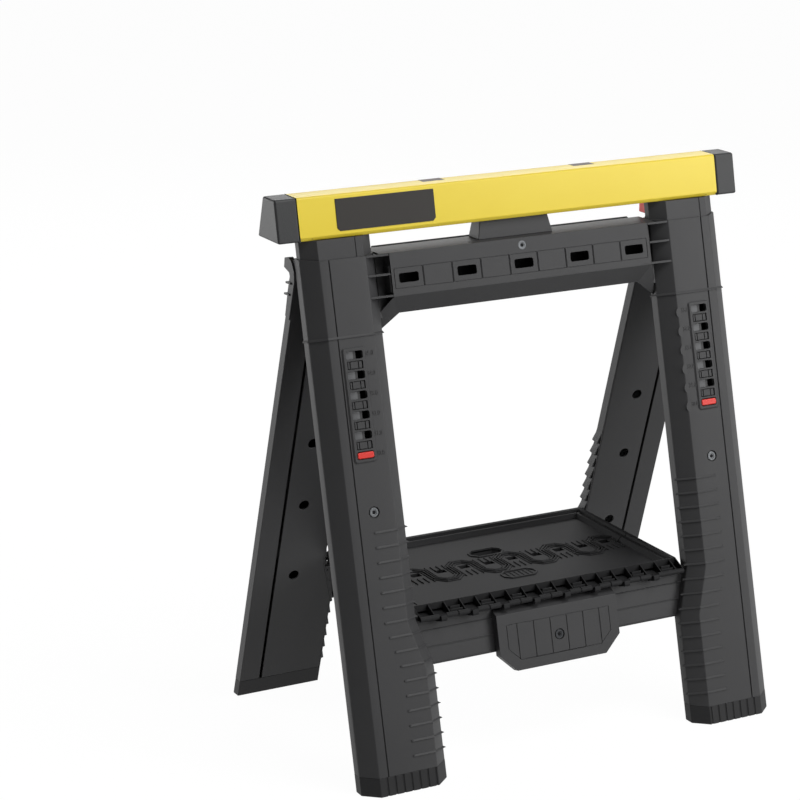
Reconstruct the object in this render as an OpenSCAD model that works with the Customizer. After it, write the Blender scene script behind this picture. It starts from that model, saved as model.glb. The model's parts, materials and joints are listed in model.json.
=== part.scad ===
// Folding work trestle. Two leg frames are hinged together under the top, a steel
// beam stands on two posts that slide in the front legs, and a two-part tool tray
// folds up between the frames. Millimetres, +Z up, X along the beam, Y to the back.

/* [Stance] */
// Height of the beam's top above the floor at the lowest setting
work_h = 762; // [740:1:800]
// Lean of the front frame from upright, in degrees
lean_front = 14.1; // [12:0.1:16]
// Lean of the rear frame from upright, in degrees
lean_rear = 17.5; // [16:0.1:20]
// Drop of the legs' tops below the beam, at the lowest setting
neck_h = 25; // [22:0.5:30]
// Drop of the fold hinge below the legs' tops
fold_drop = 27.4; // [24:0.2:32]

/* [Legs] */
// Distance of a leg's centre from the trestle's middle
leg_x = 268; // [262:1:276]
// Width of a leg's flat outer face
leg_face_w = 67; // [60:1:74]
// Width of a leg at its inside edge
leg_back_w = 108.4; // [100:0.2:116]
// Depth of a leg across the frame
leg_d = 32; // [30:0.5:36]
// Depth of the straight part of a leg's sides
leg_side_d = 15; // [12:0.5:18]
// Wall of a leg's shell
leg_wall = 2.2; // [1.8:0.1:2.8]
// Extra width on a leg's inner side, below the flare
leg_flare = 19; // [10:1:24]
// Height at which the flare begins
flare_top_z = 213; // [208:1:220]
// Height at which the flare is complete
flare_low_z = 150; // [140:1:160]
// Distance of the shell's parting line from the leg's centre
seam_off = 20; // [16:0.5:24]
// Width of the parting groove
seam_w = 1.4; // [1:0.1:2]
// Depth of the parting groove
seam_deep = 0.9; // [0.5:0.1:1.2]
// Height of the feet
foot_h = 24.5; // [18:0.5:32]
// Pitch of the upright grooves on a foot
foot_pitch = 12; // [10:0.5:14]
// Width and depth of a foot's grooves
foot_groove = 2; // [1:0.2:3]
// Thickness of the cover on a leg's inside
cover_t = 2.5; // [2:0.1:3]
// Drop of a rear cover's upper screw below the fold hinge
access_drop = 252; // [240:1:264]
// Place of the middle screw between the lower screw and the foot of the post
access_mid_share = 0.66; // [0.5:0.01:0.7]
// Height of a cover's lower screw
access_low_z = 192; // [180:1:200]
// Distance of those screws from the leg's centre, toward the middle
access_off = 7.5; // [4:0.5:10]
// Diameter of a cover's screw recess
access_d = 10; // [9:0.5:12]
// Diameter of the screw bosses inside a leg
boss_d = 13; // [12:0.5:15]

/* [Height scale] */
// Rise of the beam from one setting to the next
step_z = 25.4; // [20:0.2:30]
// Number of windows on each leg
windows = 6; // [4:1:6]
// Drop of the lowest window below the legs' tops
scale_drop = 248.6; // [240:0.2:256]
// Width of a window
win_w = 24.5; // [20:0.5:28]
// Height of a window along the leg
win_h = 10.5; // [8:0.5:13]
// Margin of the sunk panel round the windows
scale_margin = 3.5; // [2:0.5:6]
// Depth of that panel
scale_deep = 0.7; // [0.3:0.1:1]

/* [Top rails] */
// Length of the pocket between the rail's flat face and a leg
pocket_l = 13.8; // [10:0.2:20]
// Height of the rail's face
rail_face_h = 55.4; // [50:0.2:60]
// Height of the chamfer under the face, along the frame
rail_cham_h = 22; // [16:1:26]
// Depth of that chamfer
rail_cham_d = 17; // [12:1:20]
// Wall of the rails
rail_wall = 2.6; // [2:0.1:3.2]
// Thickness of the end ribs
rib_t = 3; // [2:0.2:4]
// Room left over at the ends of the row of slots, in pitches
slot_end_share = 0.42; // [0.3:0.01:0.6]
// Number of slots
slots = 5; // [3:1:5]
// Length of a slot
slot_l = 29; // [24:0.5:34]
// Height of a slot
slot_h = 12.5; // [9:0.5:15]
// Drop of the slots below the legs' tops
slot_drop = 32.9; // [28:0.1:38]
// How far the front rail's roof reaches behind the fold hinge
roof_past = 15.7; // [14:0.1:18]
// Drop of the screw in the middle of the top rail below the legs' tops
rail_screw_drop = 9.4; // [8:0.1:12]

/* [Fold hinge] */
// Radius of the hinge pins
pin_r = 4; // [3:0.25:5]
// Radius of the hinge lugs
lug_r = 9; // [8:0.25:10]
// Distance of a hinge's inner end from the end of the rail's face
hinge_in = 55; // [52:1:62]
// Width of an outer hinge lug
lug_w = 12; // [10:0.5:14]
// Whole width of a hinge
hinge_w = 50; // [46:1:54]

/* [Beam] */
// Height of the beam's section
beam_h = 55.6; // [50:0.2:62]
// Length of the steel beam past the centre of a leg
beam_past = 54.7; // [50:0.1:64]
// Length of an end cap
cap_l = 31.8; // [26:0.2:38]
// Distance of the beam's front edge ahead of the fold hinge
beam_ahead = 15.9; // [13:0.1:19]
// Width of the beam's underside
beam_low_w = 61.2; // [56:0.2:66]
// Width of the beam's top
beam_top_w = 34.1; // [30:0.1:40]
// Slope of the beam's front face, as its inset at the top
beam_in = 11.8; // [9:0.1:15]
// Thickness of the beam's sheet
beam_t = 1.8; // [1.2:0.1:2.4]
// Width of the lips under the beam
lip_w = 12; // [8:0.5:15]
// How far the end caps stand proud of the beam's sides
cap_proud = 0.6; // [0.2:0.1:1.2]
// Wall of the end caps
cap_wall = 3; // [2:0.2:4]
// How far the end caps reach into the beam
cap_plug = 18; // [10:1:30]
// Left and right ends of the bare plate on the beam's front
plate_left = -268.5; // [-280:0.5:-250]
plate_right = -123.5; // [-140:0.5:-110]
// Lower and upper edges of that plate, up the beam's face
plate_low = 9; // [6:0.5:12]
plate_high = 51; // [46:0.5:54]
// Cut on the plate's lower corners
plate_cut = 4; // [2:0.5:8]
// Thickness of the plate
plate_t = 0.8; // [0.4:0.1:1.2]
// Position of the two grip pads along the beam
pad_left_x = -111; // [-120:1:-100]
pad_right_x = 122.5; // [110:0.5:130]
// Length, width and depth of a grip pad
pad_l = 33; // [28:0.5:38]
pad_w = 15; // [10:0.5:18]
pad_h = 9; // [6:0.5:12]

/* [Posts and catches] */
// Clearance of a post in its leg
post_clear = 0.4; // [0.3:0.05:0.6]
// Wall of a post
post_wall = 3; // [2.4:0.1:3.6]
// Length of a post below the lowest window, along the leg
post_tail = 63.5; // [50:0.5:66]
// Half width of the post's tongue inside the beam
tongue_half = 28; // [24:0.5:32]
// Gap between the tongue and the beam's top
tongue_gap = 6; // [3:0.5:10]
// Distance of the post's moulded groove from its centre
post_groove_off = 22; // [18:0.5:24]
// Length of a trigger along the beam
trigger_l = 12; // [10:0.5:16]
// Gap under a trigger, and its height
trigger_gap = 4.6; // [3:0.2:6]
trigger_h = 16; // [12:0.5:18]
// Distance of a trigger's front ahead of the fold hinge
trigger_ahead = 2.8; // [1:0.1:3.2]
// Width of a trigger from front to back
trigger_w = 28; // [24:0.5:30]
// Travel of a trigger
trigger_move = 5; // [3:0.5:6]
// Width and thickness of the strap from a trigger to its catch
strap_w = 9; // [7:0.5:9]
strap_t = 3; // [2:0.2:4]
// Height and depth of a catch
catch_h = 8.6; // [7:0.2:9.5]
catch_d = 11; // [8:0.5:14]
// Width of a catch
catch_w = 23; // [18:0.5:24]
// Half width of the rest under the beam, at its foot and at its top
rest_foot = 57.6; // [50:0.2:64]
rest_top = 52.2; // [46:0.2:60]
// Depth of the rest behind the front frame's face
rest_deep = 14; // [10:0.5:18]
// Gap between the rest and the beam
rest_gap = 0.4; // [0.3:0.1:1]

/* [Tray] */
// Height of the tray's end hinges
tray_z = 207; // [203:0.5:210]
// Distance of those hinges from the inside of their frames
tray_off = 15; // [13:0.5:17]
// Gap between the tray and a leg
tray_gap = 5.8; // [3:0.2:8]
// Height of the tray's rim above its end hinges
tray_rise = 13; // [10:0.5:16]
// Height of the rim above the tray's floor
rim_h = 9; // [6:0.5:10]
// Width of the rim
rim_w = 8; // [6:0.5:10]
// Thickness of the tray's floor
floor_t = 3; // [2:0.2:4]
// Distance from an end hinge to the tray's rim
tray_end = 19.4; // [16:0.2:24]
// Radius of the tray's rods
rod_r = 2.6; // [2:0.1:3.2]
// Radius of the tray's knuckles
knuckle_r = 4.6; // [4:0.1:5.4]
// Drop of the middle hinge below the end hinges
mid_drop = 6; // [5:0.25:8]
// Room left over at the ends of the row of clips, in pitches
clip_end_share = 0.15; // [0:0.01:0.4]
// Number of the rail's clips on the tray's front rod
clips = 9; // [5:1:9]
// Width of a clip
clip_w = 9; // [6:0.5:14]
// Radius of a clip
clip_r = 5.2; // [4.6:0.1:6]
// Width of a knuckle on the middle hinge, as a part of a tongue's width
mid_share = 0.8; // [0.6:0.05:0.9]
// Number of tongues on the tray's front half
tongues = 5; // [3:1:6]
// Room at the ends of the row of tongues, in pitches
tongue_end_share = 0.22; // [0.2:0.01:0.5]
// Shift of the row of tongues to the right
tongue_shift = 16; // [12:0.5:18]
// Reach of a tongue
tongue_l = 28; // [20:0.5:30]
// Distance of the finger hole from the middle hinge, its length and width
hole_y = 46; // [44:1:60]
hole_l = 50; // [40:1:60]
hole_w = 22; // [16:0.5:28]

/* [Shelf rails] */
// Depth of a shelf rail's face behind its frame's face
shelf_face_d = 20; // [17:0.5:22]
// Drop of the rail's lower edge below the tray's hinges, along the frame
shelf_low = 64.6; // [56:0.2:72]
// Gap under the tray's rods
seat_gap = 0.6; // [0.4:0.1:1]
// Width and depth of the lines along the rail
line_w = 1.4; // [1:0.1:2]
line_deep = 0.8; // [0.4:0.1:1.2]
// Drops of the upper, middle and lower line below the tray's hinges
line_drop_1 = 12; // [9:0.2:15]
line_drop_2 = 36.8; // [30:0.2:42]
line_drop_3 = 61.4; // [54:0.2:62]
// Distance of the panel's front face ahead of the tray's front hinge
panel_ahead = 21.3; // [18:0.1:25]
// Half width of the panel at its top and at its bottom
panel_half = 94.7; // [85:0.1:105]
panel_low_half = 71.5; // [60:0.5:80]
// Heights of the panel's top, of its lower corners and of its bottom
panel_top_z = 205; // [200:0.5:206]
panel_bend_z = 141.5; // [134:0.5:148]
panel_low_z = 117.7; // [110:0.5:124]
// Number of the panel's upright grooves, their pitch, width and depth
panel_grooves = 7; // [3:1:9]
panel_pitch = 25.4; // [20:0.2:30]
panel_groove_w = 2; // [1:0.2:3]
panel_groove_deep = 1; // [0.5:0.1:1.5]
// Heights of the ends of those grooves
panel_groove_low = 133; // [128:0.5:138]
panel_groove_high = 187; // [180:0.5:192]
// Height of the panel's screw
panel_screw_z = 156; // [150:0.5:162]

/* [Screws] */
// Diameter of the frame screws' heads
head_d = 12; // [8:0.5:14]
// Diameter of the cover screws' heads
cover_head_d = 8.6; // [7:0.2:9.6]
// Height of a screw's head
head_h = 2; // [1.2:0.1:2]
// Diameter of a screw's shank
shank_d = 5; // [3:0.5:6]
// Length of a screw's shank
shank_l = 10; // [6:0.5:12]
// Drop of the front leg screws below the lowest window
leg_screw_drop = 73.2; // [70:0.2:76]
// Distance of those screws from the leg's centre, toward the middle
leg_screw_off = 3.5; // [0:0.5:8]

/* [Fits] */
// Clearance of a turning pin in its bore
pin_clear = 0.05; // [0.02:0.01:0.08]
// Clearance between pieces that move past each other
run_gap = 0.5; // [0.4:0.05:0.8]
// Distance of each frame from the plane in which they meet
plane_gap = 0.5; // [0.3:0.05:0.8]

/* [Hidden] */
// overrun of cuts past a face
over = 1;
// fineness of round shapes
$fn = 48;
// heights that follow from the working height
beam_low_z = work_h - beam_h;
top_z = beam_low_z - neck_h;
fold_z = top_z - fold_drop;
scale_low_z = top_z - scale_drop;
leg_screw_z = scale_low_z - leg_screw_drop;
rail_low_z = top_z - rail_face_h;
slot_z = top_z - slot_drop;
rail_screw_z = top_z - rail_screw_drop;
trigger_z = top_z + trigger_gap;
access_top_z = fold_z - access_drop;
// fold hinge, front to back, which puts the origin midway between the feet
fold_y = (leg_d/cos(lean_front) + fold_z*tan(lean_front)
        - leg_d/cos(lean_rear) - fold_z*tan(lean_rear))/2;
// edges that follow from the fold hinge's place
beam_front_low = fold_y - beam_ahead;
beam_back_low = beam_front_low + beam_low_w;
beam_front_top = beam_front_low + beam_in;
beam_back_top = beam_front_top + beam_top_w;
split_y = fold_y + roof_past;
trigger_front = fold_y - trigger_ahead;
// slope of a leg's chamfer, and the growth of its corners with an inset
cham_turn = atan2((leg_back_w - leg_face_w)/2, leg_d - leg_side_d);
side_k = tan(cham_turn/2);
face_k = tan((90 - cham_turn)/2);
// side of a leg that faces the middle
leg_in_x = leg_x - leg_back_w/2;
seam_x = leg_x + seam_off;
// lengths along the beam that follow from the legs' places
beam_half = leg_x + beam_past;
cap_half = beam_half + cap_l;
rail_face_x = leg_in_x - pocket_l;
hinge_x = rail_face_x - hinge_in;
slot_pitch = 2*rail_face_x/(slots - slot_end_share);
tray_half = leg_in_x - tray_gap;
clip_pitch = 2*tray_half/(clips - clip_end_share);
tongue_pitch = 2*(tray_half - rim_w)/(tongues + tongue_end_share);
tongue_w = tongue_pitch/2 - 3*run_gap/2;
mid_w = tongue_w*mid_share;
// inset of a post from the outside of its leg
post_inset = leg_wall + post_clear;
post_back = -plane_gap - cover_t - post_clear;
post_face = -leg_d + post_inset;
// inner side of a trigger and its strap, which run inside the post's wall
trigger_x = leg_in_x + post_inset + post_wall + run_gap;
// places along the frames, measured from the fold hinge
function along(z, y, lean) = (z - fold_z + y*sin(lean))/cos(lean);
rail_low = along(rail_low_z, -leg_d, lean_front);
tray_h_front = along(tray_z, -tray_off, lean_front);
tray_h_rear = along(tray_z, -tray_off, lean_rear);
// tray hinges in the part's own axes, and the lengths of the tray's halves
function front_y(y, h) = fold_y + y*cos(lean_front) + h*sin(lean_front);
function rear_y(y, h) = fold_y - y*cos(lean_rear) - h*sin(lean_rear);
tray_front_y = front_y(-tray_off, tray_h_front);
tray_rear_y = rear_y(-tray_off, tray_h_rear);
tray_span = tray_rear_y - tray_front_y;
tray_diff = tray_h_front - tray_h_rear;
panel_y = tray_front_y - panel_ahead;
half_front = (tray_span - tray_diff)/2;
half_rear = (tray_span + tray_diff)/2;
floor_top = tray_rise - rim_h;
floor_low = floor_top - floor_t;
// slope of the beam's front face
face_lean = atan2(beam_front_top - beam_front_low, work_h - beam_low_z);
// spacing of the windows along the leg
win_step = step_z/cos(lean_front);
win_low = along(scale_low_z, -leg_d, lean_front);
post_low = post_tail - win_low;
access_mid_z = access_low_z
    + access_mid_share*(fold_z - post_low*cos(lean_front) - access_low_z);
// a size beyond the whole part, for cuts
far = 2*work_h;

// Frames of reference: inside plane at y = 0, outer face at y = -leg_d, z up the leg.
module on_front() {
    translate([0, fold_y, fold_z])
        rotate([-lean_front, 0, 0])
            children();
}

module on_rear() {
    translate([0, fold_y, fold_z])
        rotate([lean_rear, 0, 0])
            mirror([0, 1, 0])
                children();
}

module flip() {
    mirror([1, 0, 0])
        children();
}

module both_sides() {
    children();
    flip()
        children();
}

// Slabs that trim the tilted pieces to level heights.
module above(z) {
    translate([-far/2, -far/2, z])
        cube([far, far, far]);
}

module below(z) {
    translate([-far/2, -far/2, z - far])
        cube([far, far, far]);
}

// A bar along X between two ends, from a profile of [y, z] points.
module bar(x0, x1, profile) {
    translate([x0, 0, 0])
        rotate([90, 0, 90])
            linear_extrude(height = x1 - x0)
                polygon(profile);
}

// A round bar along X.
module rod(x0, x1, r) {
    translate([x0, 0, 0])
        rotate([0, 90, 0])
            cylinder(r = r, h = x1 - x0);
}

// Rings of equal length, each given as [outline, height], joined into a solid.
module loft(rings) {
    n = len(rings[0][0]);
    points = [for (ring = rings) for (p = ring[0]) [p[0], p[1], ring[1]]];
    walls = [for (k = [0:len(rings) - 2]) for (i = [0:n - 1])
        [k*n + i, (k + 1)*n + i, (k + 1)*n + (i + 1)%n, k*n + (i + 1)%n]];
    low = [[for (i = [0:n - 1]) i]];
    high = [[for (i = [0:n - 1]) len(rings)*n - 1 - i]];
    polyhedron(points = points, faces = concat(low, walls, high));
}

// Outline of a leg at one height: grown by the flare, inset, and closed at its back.
function leg_outline(flare, inset, back) = [
    [leg_in_x - flare + inset, back],
    [leg_in_x - flare + inset, -leg_side_d + inset*side_k],
    [leg_x - leg_face_w/2 - flare + inset*face_k, -leg_d + inset],
    [leg_x + leg_face_w/2 - inset*face_k, -leg_d + inset],
    [leg_x + leg_back_w/2 - inset, -leg_side_d + inset*side_k],
    [leg_x + leg_back_w/2 - inset, back]];

function cover_outline(flare, clear) = [
    [leg_in_x - flare + leg_wall + clear, -plane_gap - cover_t],
    [seam_x - clear, -plane_gap - cover_t],
    [seam_x - clear, -plane_gap],
    [leg_in_x - flare + leg_wall + clear, -plane_gap]];

function open_outline(flare) = [
    [leg_in_x - flare + leg_wall, -plane_gap - cover_t - over],
    [seam_x, -plane_gap - cover_t - over],
    [seam_x, over],
    [leg_in_x - flare + leg_wall, over]];

module leg_loft(inset, back, lean) {
    loft([[leg_outline(leg_flare, inset, back), along(-foot_h, -leg_d, lean)],
        [leg_outline(leg_flare, inset, back), along(flare_low_z, -leg_d, lean)],
        [leg_outline(0, inset, back), along(flare_top_z, -leg_d, lean)],
        [leg_outline(0, inset, back), along(top_z + foot_h, 0, lean)]]);
}

module cover_loft(clear, lean) {
    loft([[cover_outline(leg_flare, clear), along(-foot_h, -leg_d, lean)],
        [cover_outline(leg_flare, clear), along(flare_low_z, -leg_d, lean)],
        [cover_outline(0, clear), along(flare_top_z, -leg_d, lean)],
        [cover_outline(0, clear), along(top_z + foot_h, 0, lean)]]);
}

module open_loft(lean) {
    loft([[open_outline(leg_flare), along(-foot_h, -leg_d, lean)],
        [open_outline(leg_flare), along(flare_low_z, -leg_d, lean)],
        [open_outline(0), along(flare_top_z, -leg_d, lean)],
        [open_outline(0), along(top_z + foot_h, 0, lean)]]);
}

// A cylinder across the leg, from one depth to another.
module across(x, h, y0, y1, d) {
    translate([x, y0, h])
        rotate([-90, 0, 0])
            cylinder(d = d, h = y1 - y0);
}

module leg_shell(lean, screws) {
    difference() {
        leg_loft(0, -plane_gap, lean);
        leg_loft(leg_wall, -plane_gap - cover_t, lean);
        open_loft(lean);
        translate([seam_x - seam_w/2, -leg_d - over, along(0, -leg_d, lean)])
            cube([seam_w, over + seam_deep, far]);
    }
    for (z = screws)
        difference() {
            across(leg_x - access_off, along(z, 0, lean), -leg_d + leg_wall/2,
                -plane_gap - cover_t, boss_d);
            across(leg_x - access_off, along(z, 0, lean), -plane_gap - cover_t - shank_l,
                over, shank_d);
        }
}

module leg_cover(lean, screws) {
    difference() {
        cover_loft(0, lean);
        for (z = screws)
            across(leg_x - access_off, along(z, 0, lean), -plane_gap - cover_t - over,
                over, access_d);
    }
}

// A headed screw whose head's face is at y, driven toward +Y.
module screw(x, h, y, d) {
    across(x, h, y, y + head_h, d);
    across(x, h, y + head_h, y + head_h + shank_l, shank_d);
}

module cover_screws(lean, screws) {
    for (z = screws)
        translate([leg_x - access_off, -plane_gap - cover_t, along(z, 0, lean)]) {
            rotate([-90, 0, 0])
                cylinder(d = cover_head_d, h = head_h);
            rotate([90, 0, 0])
                cylinder(d = shank_d, h = shank_l);
        }
}

module foot(lean) {
    difference() {
        leg_loft(0, -plane_gap, lean);
        for (k = [0:floor((leg_face_w + leg_flare)/foot_pitch) - 1])
            translate([leg_x + leg_face_w/2 - (k + 1)*foot_pitch, -leg_d - over,
                    along(-foot_h, 0, lean)])
                cube([foot_groove, over + foot_groove/2, far]);
    }
}

// Shapes that the hinge of the two frames needs free of other pieces.
module front_lugs(r, grow) {
    both_sides() {
        rod(hinge_x - grow, hinge_x + lug_w + grow, r);
        rod(hinge_x + hinge_w - lug_w - grow, hinge_x + hinge_w + grow, r);
    }
}

module rear_lug(r, grow) {
    both_sides()
        rod(hinge_x + lug_w + run_gap - grow, hinge_x + hinge_w - lug_w - run_gap + grow, r);
}

module lug_block(x0, x1) {
    half = lug_r - rail_wall/2;
    translate([x0, -leg_d + rail_wall/2, -half])
        cube([x1 - x0, leg_d - rail_wall/2 - plane_gap, 2*half]);
}

// Space of the front frame that the rear frame's top keeps out of.
module front_zone() {
    on_front()
        translate([-far/2, -far, -far/2])
            cube([far, far + run_gap, far]);
    translate([-far/2, -far, top_z - rail_wall - run_gap])
        cube([far, far + split_y + run_gap, far]);
}

function rail_profile(inset, low, back) = [
    [-leg_d + inset, low + inset/2],
    [-leg_d + inset, lug_r*leg_d],
    [back, lug_r*leg_d],
    [back, low - rail_cham_h + inset],
    [-leg_d + rail_cham_d + inset/2, low - rail_cham_h + inset]];

module rail_channel(low) {
    difference() {
        bar(-rail_face_x, rail_face_x, rail_profile(0, low, -plane_gap));
        bar(-rail_face_x + rail_wall, rail_face_x - rail_wall,
            rail_profile(rail_wall, low, over));
    }
}

// Ribs that carry the rail's end to the leg, seen in the pockets beside the face.
module end_rib(h) {
    translate([0, 0, h])
        linear_extrude(height = rib_t)
            polygon([[rail_face_x - over, -leg_d + plane_gap],
                [leg_x - leg_face_w/2 - 2*plane_gap, -leg_d + plane_gap],
                [leg_in_x - plane_gap, -leg_side_d + plane_gap],
                [leg_in_x - plane_gap, -2*plane_gap], [rail_face_x - over, -2*plane_gap]]);
}

module end_wall(low, high) {
    translate([rail_face_x - over, -leg_side_d + 2*plane_gap, low])
        cube([leg_in_x - rail_face_x + over - 2*plane_gap, rail_wall, high - low]);
}

module front_leg() {
    difference() {
        on_front()
            difference() {
                leg_shell(lean_front, [access_mid_z, access_low_z]);
                for (k = [0:windows - 1])
                    translate([leg_x - win_w/2, -leg_d - over, win_low + k*win_step - win_h/2])
                        cube([win_w, leg_wall + 2*over, win_h]);
                translate([leg_x - win_w/2 - scale_margin, -leg_d - over,
                        win_low - win_h/2 - scale_margin])
                    cube([win_w + 2*scale_margin, over + scale_deep,
                        (windows - 1)*win_step + win_h + 2*scale_margin]);
                across(leg_x - leg_screw_off, along(leg_screw_z, -leg_d, lean_front),
                    -leg_d - over, 0, shank_d);
            }
        above(top_z);
        below(foot_h);
    }
}

module front_right_leg() {
    color("DimGray")
        front_leg();
}

module front_left_leg() {
    color("DimGray")
        flip()
            front_leg();
}

module front_cover() {
    difference() {
        on_front()
            leg_cover(lean_front, [access_mid_z, access_low_z]);
        above(top_z);
        below(foot_h);
    }
}

module front_right_cover() {
    color("DimGray")
        front_cover();
}

module front_left_cover() {
    color("DimGray")
        flip()
            front_cover();
}

module front_foot() {
    difference() {
        on_front()
            foot(lean_front);
        above(foot_h);
        below(0);
    }
}

module front_right_foot() {
    color("DimGray")
        front_foot();
}

module front_left_foot() {
    color("DimGray")
        flip()
            front_foot();
}

// Top rail of the front frame: an open-backed channel with a roof and hinge lugs.
module front_top_rail() {
    slot_at = along(slot_z, -leg_d, lean_front);
    screw_at = along(rail_screw_z, -leg_d, lean_front);
    color("DimGray")
        difference() {
            union() {
                on_front() {
                    rail_channel(rail_low);
                    both_sides() {
                        end_rib(rail_low);
                        end_rib((rail_low + along(top_z, -leg_d, lean_front))/2);
                        end_rib(along(top_z, -leg_d, lean_front) - rib_t);
                        end_wall(rail_low, along(top_z, -leg_d, lean_front));
                        lug_block(hinge_x, hinge_x + lug_w);
                        lug_block(hinge_x + hinge_w - lug_w, hinge_x + hinge_w);
                    }
                    front_lugs(lug_r, 0);
                }
                difference() {
                    translate([-leg_in_x, -far, top_z - rail_wall])
                        cube([2*leg_in_x, far + split_y, rail_wall]);
                    on_front()
                        translate([-far/2, -leg_d + rail_wall/2 - far, -far/2])
                            cube([far, far, far]);
                }
            }
            above(top_z);
            on_front() {
                for (k = [0:slots - 1])
                    translate([(k - (slots - 1)/2)*slot_pitch - slot_l/2, -leg_d - over,
                            slot_at - slot_h/2])
                        cube([slot_l, rail_wall + 2*over, slot_h]);
                across(0, screw_at, -leg_d - over, 0, shank_d);
                rear_lug(lug_r + run_gap, run_gap);
                both_sides()
                    rod(hinge_x - over, hinge_x + hinge_w + over, pin_r);
            }
        }
}

// Shelf rail: an open-backed bar between the legs, cut to their flare.
module shelf_rail_shape(lean, tray_h, inset, y0, y1) {
    low = tray_h - shelf_low;
    high = tray_h - knuckle_r - seat_gap;
    bend = along(flare_top_z, -leg_d, lean);
    rate = leg_flare/(bend - along(flare_low_z, -leg_d, lean));
    translate([0, y1, 0])
        rotate([90, 0, 0])
            linear_extrude(height = y1 - y0)
                polygon([[-leg_in_x + (bend - low)*rate + inset, low + inset],
                    [leg_in_x - (bend - low)*rate - inset, low + inset],
                    [leg_in_x - (bend - high)*rate - inset, high - inset],
                    [-leg_in_x + (bend - high)*rate + inset, high - inset]]);
}

module shelf_rail(lean, tray_h) {
    face = -leg_d + shelf_face_d;
    difference() {
        union() {
            shelf_rail_shape(lean, tray_h, 0, face, -plane_gap);
            translate([-tray_half + rim_w, -tray_off, tray_h - knuckle_r - seat_gap - rail_wall])
                cube([2*(tray_half - rim_w), tray_off + face + over, rail_wall]);
        }
        shelf_rail_shape(lean, tray_h, rail_wall, face + rail_wall, over);
        for (drop = [line_drop_1, line_drop_2, line_drop_3])
            translate([-far/2, face - over, tray_h - drop - line_w/2])
                cube([far, over + line_deep, line_w]);
    }
}

module clip_places() {
    for (k = [0:clips - 1])
        translate([(k - (clips - 1)/2)*clip_pitch, 0, 0])
            children();
}

module front_shelf_rail() {
    face = -leg_d + shelf_face_d;
    color("DimGray")
        on_front()
            difference() {
                union() {
                    shelf_rail(lean_front, tray_h_front);
                    clip_places()
                        translate([-clip_w/2, -tray_off, tray_h_front]) {
                            rod(0, clip_w, clip_r);
                            translate([0, 0, -knuckle_r - seat_gap - rail_wall])
                                cube([clip_w, clip_r, knuckle_r + seat_gap + rail_wall]);
                        }
                }
                translate([-tray_half, -tray_off, tray_h_front])
                    rod(-over, 2*tray_half + over, rod_r);
                across(0, along(panel_screw_z, face, lean_front), face - over, 0, boss_d);
            }
}

function panel_outline(inset) = [
    [-panel_low_half + inset/2, panel_low_z + inset],
    [panel_low_half - inset/2, panel_low_z + inset],
    [panel_half - inset, panel_bend_z + inset/2],
    [panel_half - inset, panel_top_z - inset],
    [-panel_half + inset, panel_top_z - inset],
    [-panel_half + inset, panel_bend_z + inset/2]];

// Middle panel of the front shelf rail, with upright grooves and a sunk screw.
module front_rail_panel() {
    face = -leg_d + shelf_face_d;
    color("DimGray")
        difference() {
            translate([0, panel_y, 0])
                rotate([90, 0, 0])
                    mirror([0, 0, 1])
                        linear_extrude(height = leg_d)
                            polygon(panel_outline(0));
            translate([0, panel_y + rail_wall, 0])
                rotate([90, 0, 0])
                    mirror([0, 0, 1])
                        linear_extrude(height = leg_d)
                            polygon(panel_outline(rail_wall));
            on_front() {
                translate([-far/2, -plane_gap, -far/2])
                    cube([far, far, far]);
                translate([-far/2, face, tray_h_front - shelf_low])
                    cube([far, far, far]);
                translate([-far/2, -tray_off - clip_r - run_gap, tray_h_front - clip_r - rail_wall - run_gap])
                    cube([far, far, far]);
            }
            for (k = [0:panel_grooves - 1])
                translate([(k - (panel_grooves - 1)/2)*panel_pitch - panel_groove_w/2,
                        panel_y - over, panel_groove_low])
                    cube([panel_groove_w, over + panel_groove_deep,
                        panel_groove_high - panel_groove_low]);
            across(0, panel_screw_z, panel_y - over, panel_y + head_h, head_d + 2*run_gap);
            across(0, panel_screw_z, panel_y, panel_y + leg_d, shank_d);
        }
    color("DimGray")
        difference() {
            across(0, panel_screw_z, panel_y + head_h, panel_y + head_h + rail_wall, head_d + 2*rail_wall);
            across(0, panel_screw_z, panel_y, panel_y + leg_d, shank_d);
            on_front()
                translate([-far/2, face, tray_h_front - shelf_low])
                    cube([far, far, far]);
        }
}

module front_frame_screws() {
    color("Silver") {
        on_front() {
            both_sides()
                screw(leg_x - leg_screw_off, along(leg_screw_z, -leg_d, lean_front),
                    -leg_d - head_h, head_d);
            screw(0, along(rail_screw_z, -leg_d, lean_front), -leg_d - head_h, head_d);
        }
        screw(0, panel_screw_z, panel_y, head_d);
    }
}

module front_cover_screws() {
    color("Silver")
        on_front()
            both_sides()
                cover_screws(lean_front, [access_mid_z, access_low_z]);
}

module beam_rest() {
    color("DimGray")
        difference() {
            rotate([90, 0, 0])
                translate([0, 0, -split_y])
                    linear_extrude(height = leg_d)
                        polygon([[-rest_foot, top_z], [rest_foot, top_z],
                            [rest_top, beam_low_z - rest_gap], [-rest_top, beam_low_z - rest_gap]]);
            on_front()
                translate([-far/2, -leg_d + rest_deep - far, -far/2])
                    cube([far, far, far]);
        }
}

module fold_pins() {
    color("Silver")
        on_front()
            both_sides()
                rod(hinge_x, hinge_x + hinge_w, pin_r);
}

module tray_front_rod() {
    color("Silver")
        on_front()
            translate([0, -tray_off, tray_h_front])
                rod(-tray_half + rim_w/2, tray_half - rim_w/2, rod_r);
}

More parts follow.
